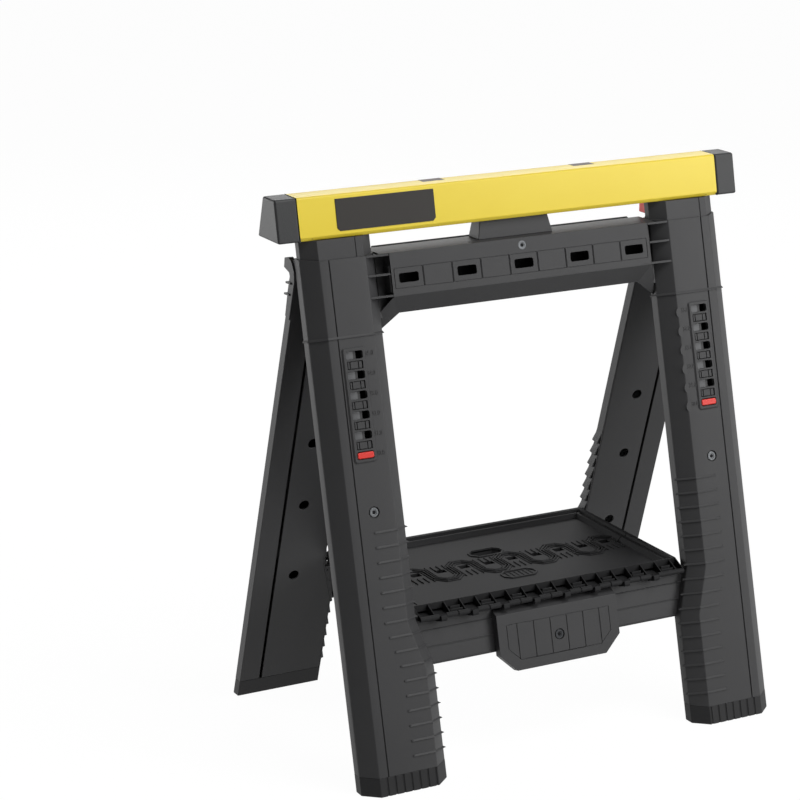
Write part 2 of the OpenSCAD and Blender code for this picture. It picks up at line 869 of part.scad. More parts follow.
// Rear frame: the same legs, closed at the top and cut clear of the front frame.
module rear_leg() {
    difference() {
        on_rear() {
            leg_shell(lean_rear, [access_top_z, access_mid_z, access_low_z]);
            difference() {
                leg_loft(leg_wall, -plane_gap - cover_t, lean_rear);
                translate([-far/2, -far/2, along(top_z, 0, lean_rear) - leg_d - far])
                    cube([far, far, far]);
                translate([-far/2, -far/2, along(top_z, 0, lean_rear) - leg_d + leg_wall])
                    cube([far, far, far]);
            }
        }
        above(top_z);
        below(foot_h);
        front_zone();
    }
}

module rear_right_leg() {
    color("DimGray")
        rear_leg();
}

module rear_left_leg() {
    color("DimGray")
        flip()
            rear_leg();
}

module rear_cover() {
    difference() {
        on_rear()
            leg_cover(lean_rear, [access_top_z, access_mid_z, access_low_z]);
        above(fold_z);
        below(foot_h);
        front_zone();
    }
}

module rear_right_cover() {
    color("DimGray")
        rear_cover();
}

module rear_left_cover() {
    color("DimGray")
        flip()
            rear_cover();
}

module rear_foot() {
    difference() {
        on_rear()
            foot(lean_rear);
        above(foot_h);
        below(0);
    }
}

module rear_right_foot() {
    color("DimGray")
        rear_foot();
}

module rear_left_foot() {
    color("DimGray")
        flip()
            rear_foot();
}

module rear_top_rail() {
    color("DimGray")
        difference() {
            on_rear()
                difference() {
                    union() {
                        rail_channel(rail_low);
                        both_sides() {
                            end_rib(rail_low);
                            end_wall(rail_low, along(top_z, -leg_d, lean_rear) - leg_d/2);
                            lug_block(hinge_x + lug_w + run_gap, hinge_x + hinge_w - lug_w - run_gap);
                        }
                    }
                    translate([-far/2, -far/2, along(top_z, -leg_d, lean_rear)])
                        cube([far, far, far]);
                }
            above(top_z);
            front_zone();
            on_rear() {
                front_lugs(lug_r + run_gap, run_gap);
                both_sides()
                    rod(hinge_x, hinge_x + hinge_w, pin_r + pin_clear);
            }
        }
    color("DimGray")
        on_rear()
            difference() {
                rear_lug(lug_r, 0);
                both_sides()
                    rod(hinge_x, hinge_x + hinge_w, pin_r + pin_clear);
            }
}

module rear_shelf_rail() {
    color("DimGray")
        on_rear()
            shelf_rail(lean_rear, tray_h_rear);
}

module rear_cover_screws() {
    color("Silver")
        on_rear()
            both_sides()
                cover_screws(lean_rear, [access_top_z, access_mid_z, access_low_z]);
}

// Beam: a folded steel channel with lips, closed by a cap at each end.
function beam_outline(inset, grow) = [
    [beam_front_low + inset - grow, beam_low_z + inset],
    [beam_back_low - inset + grow, beam_low_z + inset],
    [beam_back_top - inset + grow, work_h - inset],
    [beam_front_top + inset - grow, work_h - inset]];

module pad_zone(x) {
    translate([x - pad_l/2, beam_back_top - pad_w, work_h - pad_h])
        cube([pad_l, far, far]);
}

module top_beam() {
    color("Gold")
        difference() {
            bar(-beam_half, beam_half, beam_outline(0, 0));
            bar(-beam_half - over, beam_half + over, beam_outline(beam_t, 0));
            translate([-far/2, beam_front_low + lip_w, beam_low_z - over])
                cube([far, beam_back_low - beam_front_low - 2*lip_w, beam_t + 2*over]);
            pad_zone(pad_left_x);
            pad_zone(pad_right_x);
            beam_screw_places()
                across(0, 0, -over, shank_l, shank_d);
        }
}

module end_cap() {
    difference() {
        bar(beam_half, cap_half, beam_outline(0, cap_proud));
        bar(beam_half - over, cap_half - cap_wall, beam_outline(cap_wall, 0));
    }
    difference() {
        bar(beam_half - cap_plug, beam_half + over, beam_outline(beam_t, 0));
        bar(beam_half - cap_plug - over, cap_half - cap_wall, beam_outline(beam_t + cap_wall, 0));
    }
}

module right_end_cap() {
    color("Black")
        end_cap();
}

module left_end_cap() {
    color("Black")
        flip()
            end_cap();
}

// Post: a hollow moulding that fills its leg and carries a tongue inside the beam.
module post_tube() {
    difference() {
        leg_loft(post_inset, post_back, lean_front);
        leg_loft(post_inset + post_wall, post_back - post_wall, lean_front);
        translate([-far/2, -far/2, -post_low - far])
            cube([far, far, far]);
    }
}

module post_cuts() {
    on_front()
        translate([leg_x - catch_w/2 - post_clear, -leg_d, win_low - catch_h/2 - post_clear])
            cube([catch_w + 2*post_clear, leg_wall + post_wall + leg_side_d/2, catch_h + 2*post_clear]);
    translate([trigger_x - post_clear, trigger_front - post_clear, trigger_z - post_clear])
        cube([trigger_l + 2*post_clear, trigger_w + 2*post_clear, trigger_h + trigger_move + 2*post_clear]);
}

module post(groove_x) {
    difference() {
        on_front()
            post_tube();
        above(beam_low_z);
        post_cuts();
        on_front()
            translate([groove_x - seam_w/2, post_face - over, along(scale_low_z, 0, lean_front)])
                cube([seam_w, over + seam_deep, far]);
    }
    difference() {
        bar(leg_x - tongue_half, leg_x + tongue_half, beam_outline(beam_t, -tongue_gap/2));
        translate([-far/2, -far/2, work_h - tongue_gap])
            cube([far, far, far]);
        bar(leg_x - tongue_half + post_wall, leg_x + tongue_half - post_wall,
            beam_outline(beam_t + post_wall, -tongue_gap/2));
        translate([-far/2, beam_front_low, beam_low_z])
            cube([far, tongue_gap/2 + lip_w, beam_t + post_clear]);
        translate([-far/2, beam_back_low - lip_w - tongue_gap/2, beam_low_z])
            cube([far, far, beam_t + post_clear]);
        beam_screw_places()
            across(0, 0, -over, shank_l, shank_d);
    }
    difference() {
        translate([leg_x - tongue_half, beam_front_low + lip_w + tongue_gap/2, beam_low_z - post_wall])
            cube([2*tongue_half, beam_back_low - beam_front_low - 2*lip_w - tongue_gap, post_wall + 2*beam_t]);
        on_front()
            translate([-far/2, post_back, -far/2])
                cube([far, far, far]);
    }
}

module right_post() {
    color("DimGray")
        post(leg_x + post_groove_off);
}

module left_post() {
    color("DimGray")
        flip()
            post(leg_x - post_groove_off);
}

module on_beam_face() {
    translate([0, beam_front_low, beam_low_z])
        rotate([-face_lean, 0, 0])
            children();
}

module on_beam_back() {
    translate([0, beam_back_low, beam_low_z])
        rotate([face_lean, 0, 0])
            mirror([0, 1, 0])
                children();
}

module name_plate() {
    color("Black")
        on_beam_face()
            rotate([90, 0, 0])
                linear_extrude(height = plate_t)
                    polygon([[plate_left, plate_low + plate_cut], [plate_left + plate_cut, plate_low],
                        [plate_right - plate_cut, plate_low], [plate_right, plate_low + plate_cut],
                        [plate_right, plate_high], [plate_left, plate_high]]);
}

module grip_pads() {
    color("Gray")
        for (x = [pad_left_x, pad_right_x])
            intersection() {
                bar(-beam_half, beam_half, beam_outline(0, 0));
                pad_zone(x);
            }
}

module beam_screw_places() {
    both_sides()
        for (x = [leg_x - tongue_half/2, leg_x + tongue_half/2])
            on_beam_back()
                translate([x, 0, tongue_half])
                    children();
}

module beam_screws() {
    color("Silver")
        beam_screw_places() {
            across(0, 0, -head_h, 0, cover_head_d);
            across(0, 0, 0, shank_l, shank_d);
        }
}

// Trigger under the beam, the strap that runs down inside the post, and the catch.
module trigger() {
    translate([trigger_x, trigger_front, trigger_z])
        cube([trigger_l, trigger_w, trigger_h]);
}

module right_trigger() {
    color("Red")
        trigger();
}

module left_trigger() {
    color("Red")
        flip()
            trigger();
}

module strap() {
    back = post_back - post_wall - run_gap;
    foot = win_low + catch_h/2 + run_gap;
    difference() {
        on_front() {
            translate([trigger_x, back - strap_t, foot])
                cube([strap_w, strap_t, far]);
            translate([trigger_x, back - strap_t, foot])
                cube([leg_x - trigger_x, strap_t, strap_w]);
            translate([leg_x - strap_w, post_face + post_wall + run_gap, foot])
                cube([strap_w, back - post_face - post_wall - run_gap, strap_w]);
        }
        above(trigger_z);
    }
}

module right_strap() {
    color("Red")
        strap();
}

module left_strap() {
    color("Red")
        flip()
            strap();
}

module catch_block() {
    on_front()
        translate([leg_x - catch_w/2, post_face, win_low - catch_h/2])
            cube([catch_w, catch_d, catch_h]);
}

module right_catch() {
    color("Red")
        catch_block();
}

module left_catch() {
    color("Red")
        flip()
            catch_block();
}

// Tray halves, drawn from an end hinge at the origin toward the middle hinge.
module tongue(grow, z0, z1) {
    round_r = tongue_w/4 + grow - plane_gap;
    translate([-tongue_w/2 - grow, -tongue_l, z0])
        cube([tongue_w + 2*grow, 2*tongue_l - tongue_w/4, z1 - z0]);
    translate([-tongue_w/4, -tongue_l, z0])
        cube([tongue_w/2, 2*tongue_l + grow, z1 - z0]);
    for (side = [-1, 1])
        translate([side*tongue_w/4, tongue_l - tongue_w/4, z0])
            cylinder(r = round_r, h = z1 - z0);
}

module tongue_row(count) {
    for (k = [0:count - 1])
        translate([(k - (count - 1)/2)*tongue_pitch + tongue_shift, 0, 0])
            children();
}

module tray_half(mid_y, own, other) {
    difference() {
        union() {
            bar(-tray_half, tray_half, [[0, knuckle_r], [tray_end, tray_rise],
                [tray_end + rim_w, tray_rise], [tray_end + rim_w, floor_low], [0, 0]]);
            rod(-tray_half, tray_half, knuckle_r);
            translate([-tray_half, tray_end, floor_low])
                cube([2*tray_half, mid_y - tray_end - run_gap/2, floor_t]);
            for (x = [-tray_half, tray_half - rim_w])
                translate([x, tray_end, floor_low])
                    cube([rim_w, mid_y - tray_end - run_gap/2, tray_rise - floor_low]);
            translate([0, mid_y, 0])
                tongue_row(own) {
                    tongue(0, floor_low, floor_top);
                    translate([-mid_w/2, 0, -mid_drop])
                        rod(0, mid_w, knuckle_r);
                    translate([-mid_w/2, -knuckle_r, -mid_drop])
                        cube([mid_w, knuckle_r - run_gap/2, mid_drop + floor_low]);
                }
        }
        translate([0, mid_y, 0])
            tongue_row(other)
                mirror([0, 1, 0])
                    tongue(run_gap, floor_low - over, tray_rise);
        translate([0, mid_y, -mid_drop])
            rod(-tray_half - over, tray_half + over, rod_r + pin_clear);
        rod(-tray_half - over, tray_half + over, rod_r + pin_clear);
    }
}

module on_tray_front() {
    translate([0, tray_front_y, tray_z])
        children();
}

module on_tray_rear() {
    translate([0, tray_rear_y, tray_z])
        mirror([0, 1, 0])
            children();
}

module tray_front_half() {
    color("DimGray")
        on_tray_front()
            difference() {
                tray_half(half_front, tongues, tongues - 1);
                clip_places()
                    rod(-clip_w/2 - run_gap, clip_w/2 + run_gap, clip_r + run_gap);
            }
}

// The rear half has the finger hole.
module tray_rear_half() {
    color("DimGray")
        on_tray_rear()
            difference() {
                tray_half(half_rear, tongues - 1, tongues);
                translate([0, half_rear - hole_y, floor_low - over]) {
                    for (side = [-1, 1])
                        translate([side*(hole_l - hole_w)/2, 0, 0])
                            cylinder(d = hole_w, h = floor_t + 2*over);
                    translate([-(hole_l - hole_w)/2, -hole_w/2, 0])
                        cube([hole_l - hole_w, hole_w, floor_t + 2*over]);
                }
            }
}

module tray_middle_rod() {
    color("Silver")
        translate([0, tray_front_y + half_front, tray_z - mid_drop])
            rod(-tray_half + rim_w, tray_half - rim_w, rod_r);
}

module tray_rear_rod() {
    color("Silver")
        on_tray_rear()
            rod(-tray_half, tray_half, rod_r);
}

front_left_leg();
front_right_leg();
front_left_cover();
front_right_cover();
front_left_foot();
front_right_foot();
front_top_rail();
front_shelf_rail();
front_rail_panel();
front_frame_screws();
front_cover_screws();
beam_rest();
fold_pins();
tray_front_rod();
rear_left_leg();
rear_right_leg();
rear_left_cover();
rear_right_cover();
rear_left_foot();
rear_right_foot();
rear_top_rail();
rear_shelf_rail();
rear_cover_screws();
top_beam();
left_end_cap();
right_end_cap();
left_post();
right_post();
name_plate();
grip_pads();
beam_screws();
left_trigger();
right_trigger();
left_strap();
right_strap();
left_catch();
right_catch();
tray_front_half();
tray_rear_half();
tray_middle_rod();
tray_rear_rod();
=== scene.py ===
# Dressed model of a folding work trestle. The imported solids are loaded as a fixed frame,
# each visible piece gets its moulded or folded shape and its finish, and a camera takes
# the photograph's view. Sizes are in millimetres and become metres where points are placed.
import json
import math

import bmesh
import bpy
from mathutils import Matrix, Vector


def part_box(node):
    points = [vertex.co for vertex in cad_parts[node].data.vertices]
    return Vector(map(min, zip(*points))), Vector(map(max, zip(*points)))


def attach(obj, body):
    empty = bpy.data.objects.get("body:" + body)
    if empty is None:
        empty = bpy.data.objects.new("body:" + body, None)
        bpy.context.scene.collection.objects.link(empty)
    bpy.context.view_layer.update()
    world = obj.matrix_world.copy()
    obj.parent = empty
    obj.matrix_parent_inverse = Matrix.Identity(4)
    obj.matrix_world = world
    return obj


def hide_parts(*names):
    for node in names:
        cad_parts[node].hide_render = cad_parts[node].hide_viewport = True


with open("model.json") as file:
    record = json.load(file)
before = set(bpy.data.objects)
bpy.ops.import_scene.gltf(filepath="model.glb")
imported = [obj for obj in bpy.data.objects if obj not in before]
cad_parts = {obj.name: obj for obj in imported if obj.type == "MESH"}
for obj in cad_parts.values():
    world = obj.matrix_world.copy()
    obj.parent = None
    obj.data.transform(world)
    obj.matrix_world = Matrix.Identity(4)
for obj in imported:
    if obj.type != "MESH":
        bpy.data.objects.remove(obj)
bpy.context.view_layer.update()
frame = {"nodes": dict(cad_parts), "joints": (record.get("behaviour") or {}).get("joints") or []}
scene = bpy.context.scene

# Studio: a paper floor and a backdrop that the camera sees as white, a broad lamp to the right
# of the front, one high in front, one behind, and a low one behind on the left for the edges.
MM = 0.001
WHITE = "#FFFFFF"
PAPER = "#C4C4C4"
FILL = 0.04
SKY_SHEEN = 0.3
FLOOR_SEEN = 0.93
FLOOR_GLOW = 1.05
FLOOR_HALF = 40


def linear(code):
    """Linear colour of an sRGB hex value."""
    parts = [int(code[i:i + 2], 16)/255 for i in (1, 3, 5)]
    return (*[c/12.92 if c <= 0.04045 else ((c + 0.055)/1.055)**2.4 for c in parts], 1)


def add(tree, kind, inputs=None, **settings):
    """One node with its settings; each input takes a value or another node's output."""
    made = tree.nodes.new(kind)
    for name, value in settings.items():
        setattr(made, name, value)
    for socket, value in (inputs or {}).items():
        if isinstance(value, bpy.types.NodeSocket):
            tree.links.new(value, made.inputs[socket])
        else:
            made.inputs[socket].default_value = value
    return made


def put(name, data):
    """A new object of the scene."""
    made = bpy.data.objects.new(name, data)
    scene.collection.objects.link(made)
    return made


def backdrop_rays(tree, gloss):
    """1 for rays that reach the backdrop from the camera or through glass, gloss off a sheen."""
    ray = add(tree, "ShaderNodeLightPath")
    seen = add(tree, "ShaderNodeMath", {0: ray.outputs["Is Camera Ray"],
                                        1: ray.outputs["Is Transmission Ray"]}, operation="MAXIMUM")
    sheen = add(tree, "ShaderNodeMath", {0: ray.outputs["Is Glossy Ray"], 1: gloss},
                operation="MULTIPLY")
    either = add(tree, "ShaderNodeMath", {0: seen.outputs[0], 1: sheen.outputs[0]},
                 operation="MAXIMUM")
    return either.outputs[0]


world = bpy.data.worlds.new("studio")
world.use_nodes = True
scene.world = world
sky = world.node_tree
sky.nodes.clear()
level = add(sky, "ShaderNodeMath", {0: backdrop_rays(sky, SKY_SHEEN), 1: FILL},
            operation="MAXIMUM")
fill = add(sky, "ShaderNodeBackground", {"Color": linear(WHITE), "Strength": level.outputs[0]})
add(sky, "ShaderNodeOutputWorld", {"Surface": fill.outputs["Background"]})

# Floor paper, matt and pale: it takes the shadow, and glows white toward the camera.
floor_paint = bpy.data.materials.new("floor_paper")
floor_paint.use_nodes = True
paint = floor_paint.node_tree
paint.nodes.clear()
share = add(paint, "ShaderNodeMath", {0: backdrop_rays(paint, 1.0), 1: FLOOR_SEEN},
            operation="MULTIPLY")
matt = add(paint, "ShaderNodeBsdfDiffuse", {"Color": linear(PAPER)})
glow = add(paint, "ShaderNodeEmission", {"Color": linear(WHITE), "Strength": FLOOR_GLOW})
both = add(paint, "ShaderNodeMixShader",
           {0: share.outputs[0], 1: matt.outputs[0], 2: glow.outputs[0]})
add(paint, "ShaderNodeOutputMaterial", {"Surface": both.outputs[0]})
floor_mesh = bpy.data.meshes.new("floor")
floor_mesh.from_pydata([(-FLOOR_HALF, -FLOOR_HALF, 0), (FLOOR_HALF, -FLOOR_HALF, 0),
                        (FLOOR_HALF, FLOOR_HALF, 0), (-FLOOR_HALF, FLOOR_HALF, 0)],
                       [], [(0, 1, 2, 3)])
floor_mesh.materials.append(floor_paint)
floor = put("floor", floor_mesh)

LAMPS = {
    "key_lamp": dict(place=(3.6, -3.6, 2.3), size=(2.4, 3.4), watts=168),
    "high_lamp": dict(place=(0.8, -1.7, 3.7), size=(1.6, 1.6), watts=70),
    "back_lamp": dict(place=(1.5, 3.0, 2.1), size=(2.4, 1.2), watts=32),
    "edge_lamp": dict(place=(-2.7, 2.7, 0.75), size=(1.6, 1.6), watts=65),
}
AIM = Vector((0, 0, 0.4))
for name, made in LAMPS.items():
    lamp = bpy.data.lights.new(name, "AREA")
    lamp.shape = "RECTANGLE"
    lamp.size, lamp.size_y = made["size"]
    lamp.energy = made["watts"]
    holder = put(name, lamp)
    holder.location = made["place"]
    holder.rotation_euler = (AIM - holder.location).to_track_quat("-Z", "Y").to_euler()

# Camera: stands to the left of the front and looks down a little, as fitted to the corners
# of the beam and the feet. The focal length is in pixels of the 800-pixel picture.
EYE = Vector((-1764.7, -3020.8, 1445.9))
VIEW_SIDE = math.radians(28)
VIEW_DOWN = math.radians(16)
FOCAL_PX = 2639.5
PICTURE_PX = 800
SENSOR = 36
camera = bpy.data.cameras.new("camera")
camera.sensor_width = SENSOR
camera.lens = FOCAL_PX*SENSOR/PICTURE_PX
holder = put("camera", camera)
holder.location = EYE*MM
holder.rotation_euler = (math.pi/2 - VIEW_DOWN, 0, -VIEW_SIDE)
scene.camera = holder
scene.view_settings.view_transform = "Standard"

# Front legs: hollow polypropylene shells, moulded with a grained face, a parting groove, a sunk
# ring for a screw and a raised scale panel with six windows. They flare toward the feet.
joints = {joint["name"]: joint for joint in frame["joints"]}
SIDES = ((-1, "left"), (1, "right"))
FOLD = Vector(joints["fold"]["pos_m"])/MM
LEAN_FRONT = math.atan2(*joints["beam_height"]["axis"][1:])
LEAN_REAR = math.radians(-joints["fold"]["range_deg"][0]) - LEAN_FRONT
TOP_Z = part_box("front_right_leg")[1].z/MM
FOOT_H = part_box("front_right_foot")[1].z/MM
LEG_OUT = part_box("front_right_leg")[1].x/MM
LEG_BACK_W = 108.4
LEG_FACE_W = 67
LEG_D = 32
LEG_SIDE_D = 15
LEG_WALL = 2.2
LEG_EDGE = 0.35
COVER_T = 2.5
PLANE_GAP = 0.5
FLARE = 19
FLARE_TOP_Z = 213
FLARE_LOW_Z = 150
LEG_X = LEG_OUT - LEG_BACK_W/2
LEG_IN = LEG_OUT - LEG_BACK_W
LEG_REACH = 5*LEG_OUT
SHELL_ROUND = [0.6, 4, 3, 3, 4, 1.2, 0.4, 0, 0, 0, 0, 0, 0, 0.4]
SEAM_X = LEG_X + 20
SEAM_W = 1.8
SEAM_DEEP = 1.4
CLEAR = 5
LIGHT_CLEAR = 1
STEP_Z = 25.4
WINDOWS = 6
WIN_W = 24.5
WIN_H = 10.5
WIN_ROUND = 2.8
WIN_DEEP = 8
WIN_LOW_Z = TOP_Z - 248.6
NOTCH_W = 22.5
NOTCH_H = 10.6
NOTCH_ROUND = 1
NOTCH_DEEP = 0.9
SCALE_MARGIN = 3
SCALE_PROUD = 1.9
SCALE_SLOPE = 2
SCALE_ROUND = 3
SCALE_FOOT_ROUND = 4.5
SCALE_LEVELS = (-1, 0.1)
LEG_SCREW_X = LEG_X - 3.5
LEG_SCREW_Z = WIN_LOW_Z - 73.2
SINK_DEEP = 2.0
SCREW_RING_D = 15.5
SHARP = math.radians(25)


def up_leg(z, y, lean=LEAN_FRONT):
    """Distance up a frame from the fold hinge of a point at that height and depth."""
    return (z - FOLD.z + y*math.sin(lean))/math.cos(lean)


def on_front(x, y, h):
    """Point of the front frame, in metres: y is 0 inside, h goes up the leg."""
    back = y*math.cos(LEAN_FRONT) + h*math.sin(LEAN_FRONT)
    rise = h*math.cos(LEAN_FRONT) - y*math.sin(LEAN_FRONT)
    return Vector((x, FOLD.y + back, FOLD.z + rise))*MM


def on_front_face(x, h, out):
    """Point of the front frame's outer face, raised by out."""
    return on_front(x, -LEG_D - out, h)


WIN_STEP = STEP_Z/math.cos(LEAN_FRONT)
WIN_LOW = up_leg(WIN_LOW_Z, -LEG_D)
WIN_UP = on_front(0, 0, WIN_STEP) - on_front(0, 0, 0)
LEG_SCREW_H = up_leg(LEG_SCREW_Z, -LEG_D)


def fillet(corners, radii, steps=4):
    """Closed outline with each corner rounded to its radius."""
    outline = []
    for i, (corner, r) in enumerate(zip(corners, radii)):
        corner = Vector(corner)
        back = (Vector(corners[i - 1]) - corner).normalized()
        ahead = (Vector(corners[(i + 1) % len(corners)]) - corner).normalized()
        half = back.angle(ahead)/2
        if r == 0 or half > math.pi/2 - 1e-3:
            outline.append(corner)
            continue
        centre = corner + (back + ahead).normalized()*(r/math.sin(half))
        start = corner + back*(r/math.tan(half)) - centre
        end = corner + ahead*(r/math.tan(half)) - centre
        outline += [centre + r*start.slerp(end, k/steps).normalized() for k in range(steps + 1)]
    return outline


def box_outline(u, v, width, height, r):
    """Rounded rectangle about a centre."""
    corners = [(u - width/2, v - height/2), (u + width/2, v - height/2),
               (u + width/2, v + height/2), (u - width/2, v + height/2)]
    return fillet(corners, [r]*4)


def circle(u, v, r, sides=32):
    """Round outline about a centre."""
    return [(u + r*math.cos(k*math.tau/sides), v + r*math.sin(k*math.tau/sides))
            for k in range(sides)]


def loft(name, rings, ring_shaped=False):
    """Solid whose skin runs through rings of equal count, closed by its ends or on itself."""
    n = len(rings[0])
    count = len(rings)
    faces = [(k*n + i, k*n + (i + 1) % n, (k + 1) % count*n + (i + 1) % n, (k + 1) % count*n + i)
             for k in range(count if ring_shaped else count - 1) for i in range(n)]
    if not ring_shaped:
        faces += [range(n), range((count - 1)*n, count*n)]
    mesh = bpy.data.meshes.new(name)
    mesh.from_pydata([point for ring in rings for point in ring], [], faces)
    tidy = bmesh.new()
    tidy.from_mesh(mesh)
    bmesh.ops.recalc_face_normals(tidy, faces=tidy.faces)
    tidy.to_mesh(mesh)
    tidy.free()
    return put(name, mesh)


def prism(name, outline, place, low, high):
    """Solid with one flat outline, from a low to a high level of the place it is set on."""
    return loft(name, [[place(*point, level) for point in outline] for level in (low, high)])


def settle(piece):
    """Turns what the modifiers give into the piece's plain mesh."""
    bpy.context.view_layer.update()
    shaped = piece.evaluated_get(bpy.context.evaluated_depsgraph_get())
    mesh = bpy.data.meshes.new_from_object(shaped)
    piece.modifiers.clear()
    piece.data = mesh
    return piece


def carve(piece, *cutters):
    """Cuts solids out of a piece and discards them."""
    for cutter in cutters:
        cut = piece.modifiers.new("cut", "BOOLEAN")
        cut.operation = "DIFFERENCE"
        cut.solver = "EXACT"
        cut.object = cutter
    settle(piece)
    for cutter in cutters:
        bpy.data.objects.remove(cutter)
    return piece


def soften(piece, width, segments=2):
    """Breaks the sharp edges of a piece, as a mould does."""
    piece.data.shade_smooth()
    edge = piece.modifiers.new("edges", "BEVEL")
    edge.width = width*MM
    edge.segments = segments
    edge.limit_method = "ANGLE"
    edge.angle_limit = SHARP
    edge.use_clamp_overlap = False
    edge.loop_slide = False
    edge.harden_normals = True
    return settle(piece)


def join(name, pieces):
    """One mesh of several loose solids."""
    whole = bmesh.new()
    for piece in pieces:
        whole.from_mesh(piece.data)
    mesh = bpy.data.meshes.new(name)
    whole.to_mesh(mesh)
    whole.free()
    for piece in pieces:
        bpy.data.objects.remove(piece)
    return put(name, mesh)


# The row tree repeats one piece along a line: ribs, windows, slots and clips use it.
row = bpy.data.node_groups.new("evenly_spaced_row", "GeometryNodeTree")
row_inputs = {name: row.interface.new_socket(name, in_out="INPUT", socket_type=kind).identifier
              for name, kind in (("Piece", "NodeSocketGeometry"), ("Count", "NodeSocketInt"),
                                 ("Step", "NodeSocketVector"), ("Finish", "NodeSocketMaterial"))}
row.interface.new_socket("Row", in_out="OUTPUT", socket_type="NodeSocketGeometry")
given = add(row, "NodeGroupInput")
line = add(row, "GeometryNodeMeshLine",
           {"Count": given.outputs["Count"], "Offset": given.outputs["Step"]}, mode="OFFSET")
spread = add(row, "GeometryNodeInstanceOnPoints",
             {"Points": line.outputs["Mesh"], "Instance": given.outputs["Piece"]})
whole = add(row, "GeometryNodeRealizeInstances", {"Geometry": spread.outputs["Instances"]})
painted = add(row, "GeometryNodeSetMaterial",
              {"Geometry": whole.outputs["Geometry"], "Material": given.outputs["Finish"]})
add(row, "NodeGroupOutput", {"Row": painted.outputs["Geometry"]})


def repeat(piece, count, step, finish=None):
    """Repeats a piece along a line of equal steps, given in metres."""
    spaced = piece.modifiers.new("row", "NODES")
    spaced.node_group = row
    spaced[row_inputs["Count"]] = count
    spaced[row_inputs["Step"]] = tuple(step)
    spaced[row_inputs["Finish"]] = finish
    return settle(piece)


def clouded(name, dark, light, patch, **noise):
    """A material whose colour drifts between two tones over patches of a size."""
    material = bpy.data.materials.new(name)
    material.use_nodes = True
    tree = material.node_tree
    shader = tree.nodes["Principled BSDF"]
    place = add(tree, "ShaderNodeTexCoord")
    cloud = add(tree, "ShaderNodeTexNoise",
                {"Vector": place.outputs["Object"], "Scale": 1/(patch*MM), **noise})
    tint = add(tree, "ShaderNodeMix", {"Factor": cloud.outputs["Fac"], "A": linear(dark),
                                       "B": linear(light)}, data_type="RGBA")
    tree.links.new(tint.outputs["Result"], shader.inputs["Base Color"])
    return material, tree, shader, place


FLOW_PATCH = 90
GRAIN_DEEP = 0.25
GLOSS_SPREAD = 0.05


def moulded(name, dark, light, rough, grain, grain_lift, specular=0.3):
    """Moulded plastic: faint flow marks in its colour and gloss, and a spark-eroded grain."""
    material, tree, shader, place = clouded(name, dark, light, FLOW_PATCH, Detail=3.0,
                                            Roughness=0.6)
    pits = add(tree, "ShaderNodeTexNoise", {"Vector": place.outputs["Object"],
                                            "Scale": 1/(grain*MM), "Detail": 2.0,
                                            "Roughness": 0.55})
    gloss = add(tree, "ShaderNodeMapRange", {"Value": pits.outputs["Fac"],
                                             "To Min": rough - GLOSS_SPREAD,
                                             "To Max": rough + GLOSS_SPREAD})
    lift = add(tree, "ShaderNodeBump", {"Height": pits.outputs["Fac"], "Strength": grain_lift,
                                        "Distance": GRAIN_DEEP*MM})
    tree.links.new(gloss.outputs["Result"], shader.inputs["Roughness"])
    tree.links.new(lift.outputs["Normal"], shader.inputs["Normal"])
    shader.inputs["Specular IOR Level"].default_value = specular
    return material


# Polypropylene moulded against a spark-eroded steel face: dark grey, soft sheen, fine grain.
# The real grain is about half a millimetre and is drawn coarser, so that it shows.
polypropylene = moulded("polypropylene_moulded", "#373738", "#3E3E3F",
                        rough=0.5, grain=1.6, grain_lift=0.25)


def dress(piece, material, body, slot, *nodes):
    """Gives a piece its finish, its body and the solids it stands for; its slot is not used."""
    piece.data.materials.clear()
    piece.data.materials.append(material)
    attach(piece, body)
    if nodes:
        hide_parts(*nodes)
    return piece


def leg_corners(flare, inset=0.0):
    """Corners of a leg's outside, from its inner edge round the front; inset goes inward."""
    slope = math.atan2((LEG_BACK_W - LEG_FACE_W)/2, LEG_D - LEG_SIDE_D)
    side = inset*math.tan(slope/2)
    face = inset*math.tan((math.pi/2 - slope)/2)
    return [(LEG_IN - flare + inset, -LEG_SIDE_D + side),
            (LEG_X - LEG_FACE_W/2 - flare + face, -LEG_D + inset),
            (LEG_X + LEG_FACE_W/2 - face, -LEG_D + inset),
            (LEG_OUT - inset, -LEG_SIDE_D + side)]


def shell_outline(flare):
    """Section of a leg's shell, open at its back as far as the parting line."""
    outer = leg_corners(flare)
    inner = leg_corners(flare, LEG_WALL)[::-1]
    back = -PLANE_GAP - COVER_T
    corners = [(LEG_IN - flare, -PLANE_GAP), *outer, (LEG_OUT, -PLANE_GAP), (SEAM_X, -PLANE_GAP),
               (SEAM_X, back), (LEG_OUT - LEG_WALL, back), *inner,
               (LEG_IN - flare + LEG_WALL, -PLANE_GAP)]
    return fillet(corners, SHELL_ROUND)


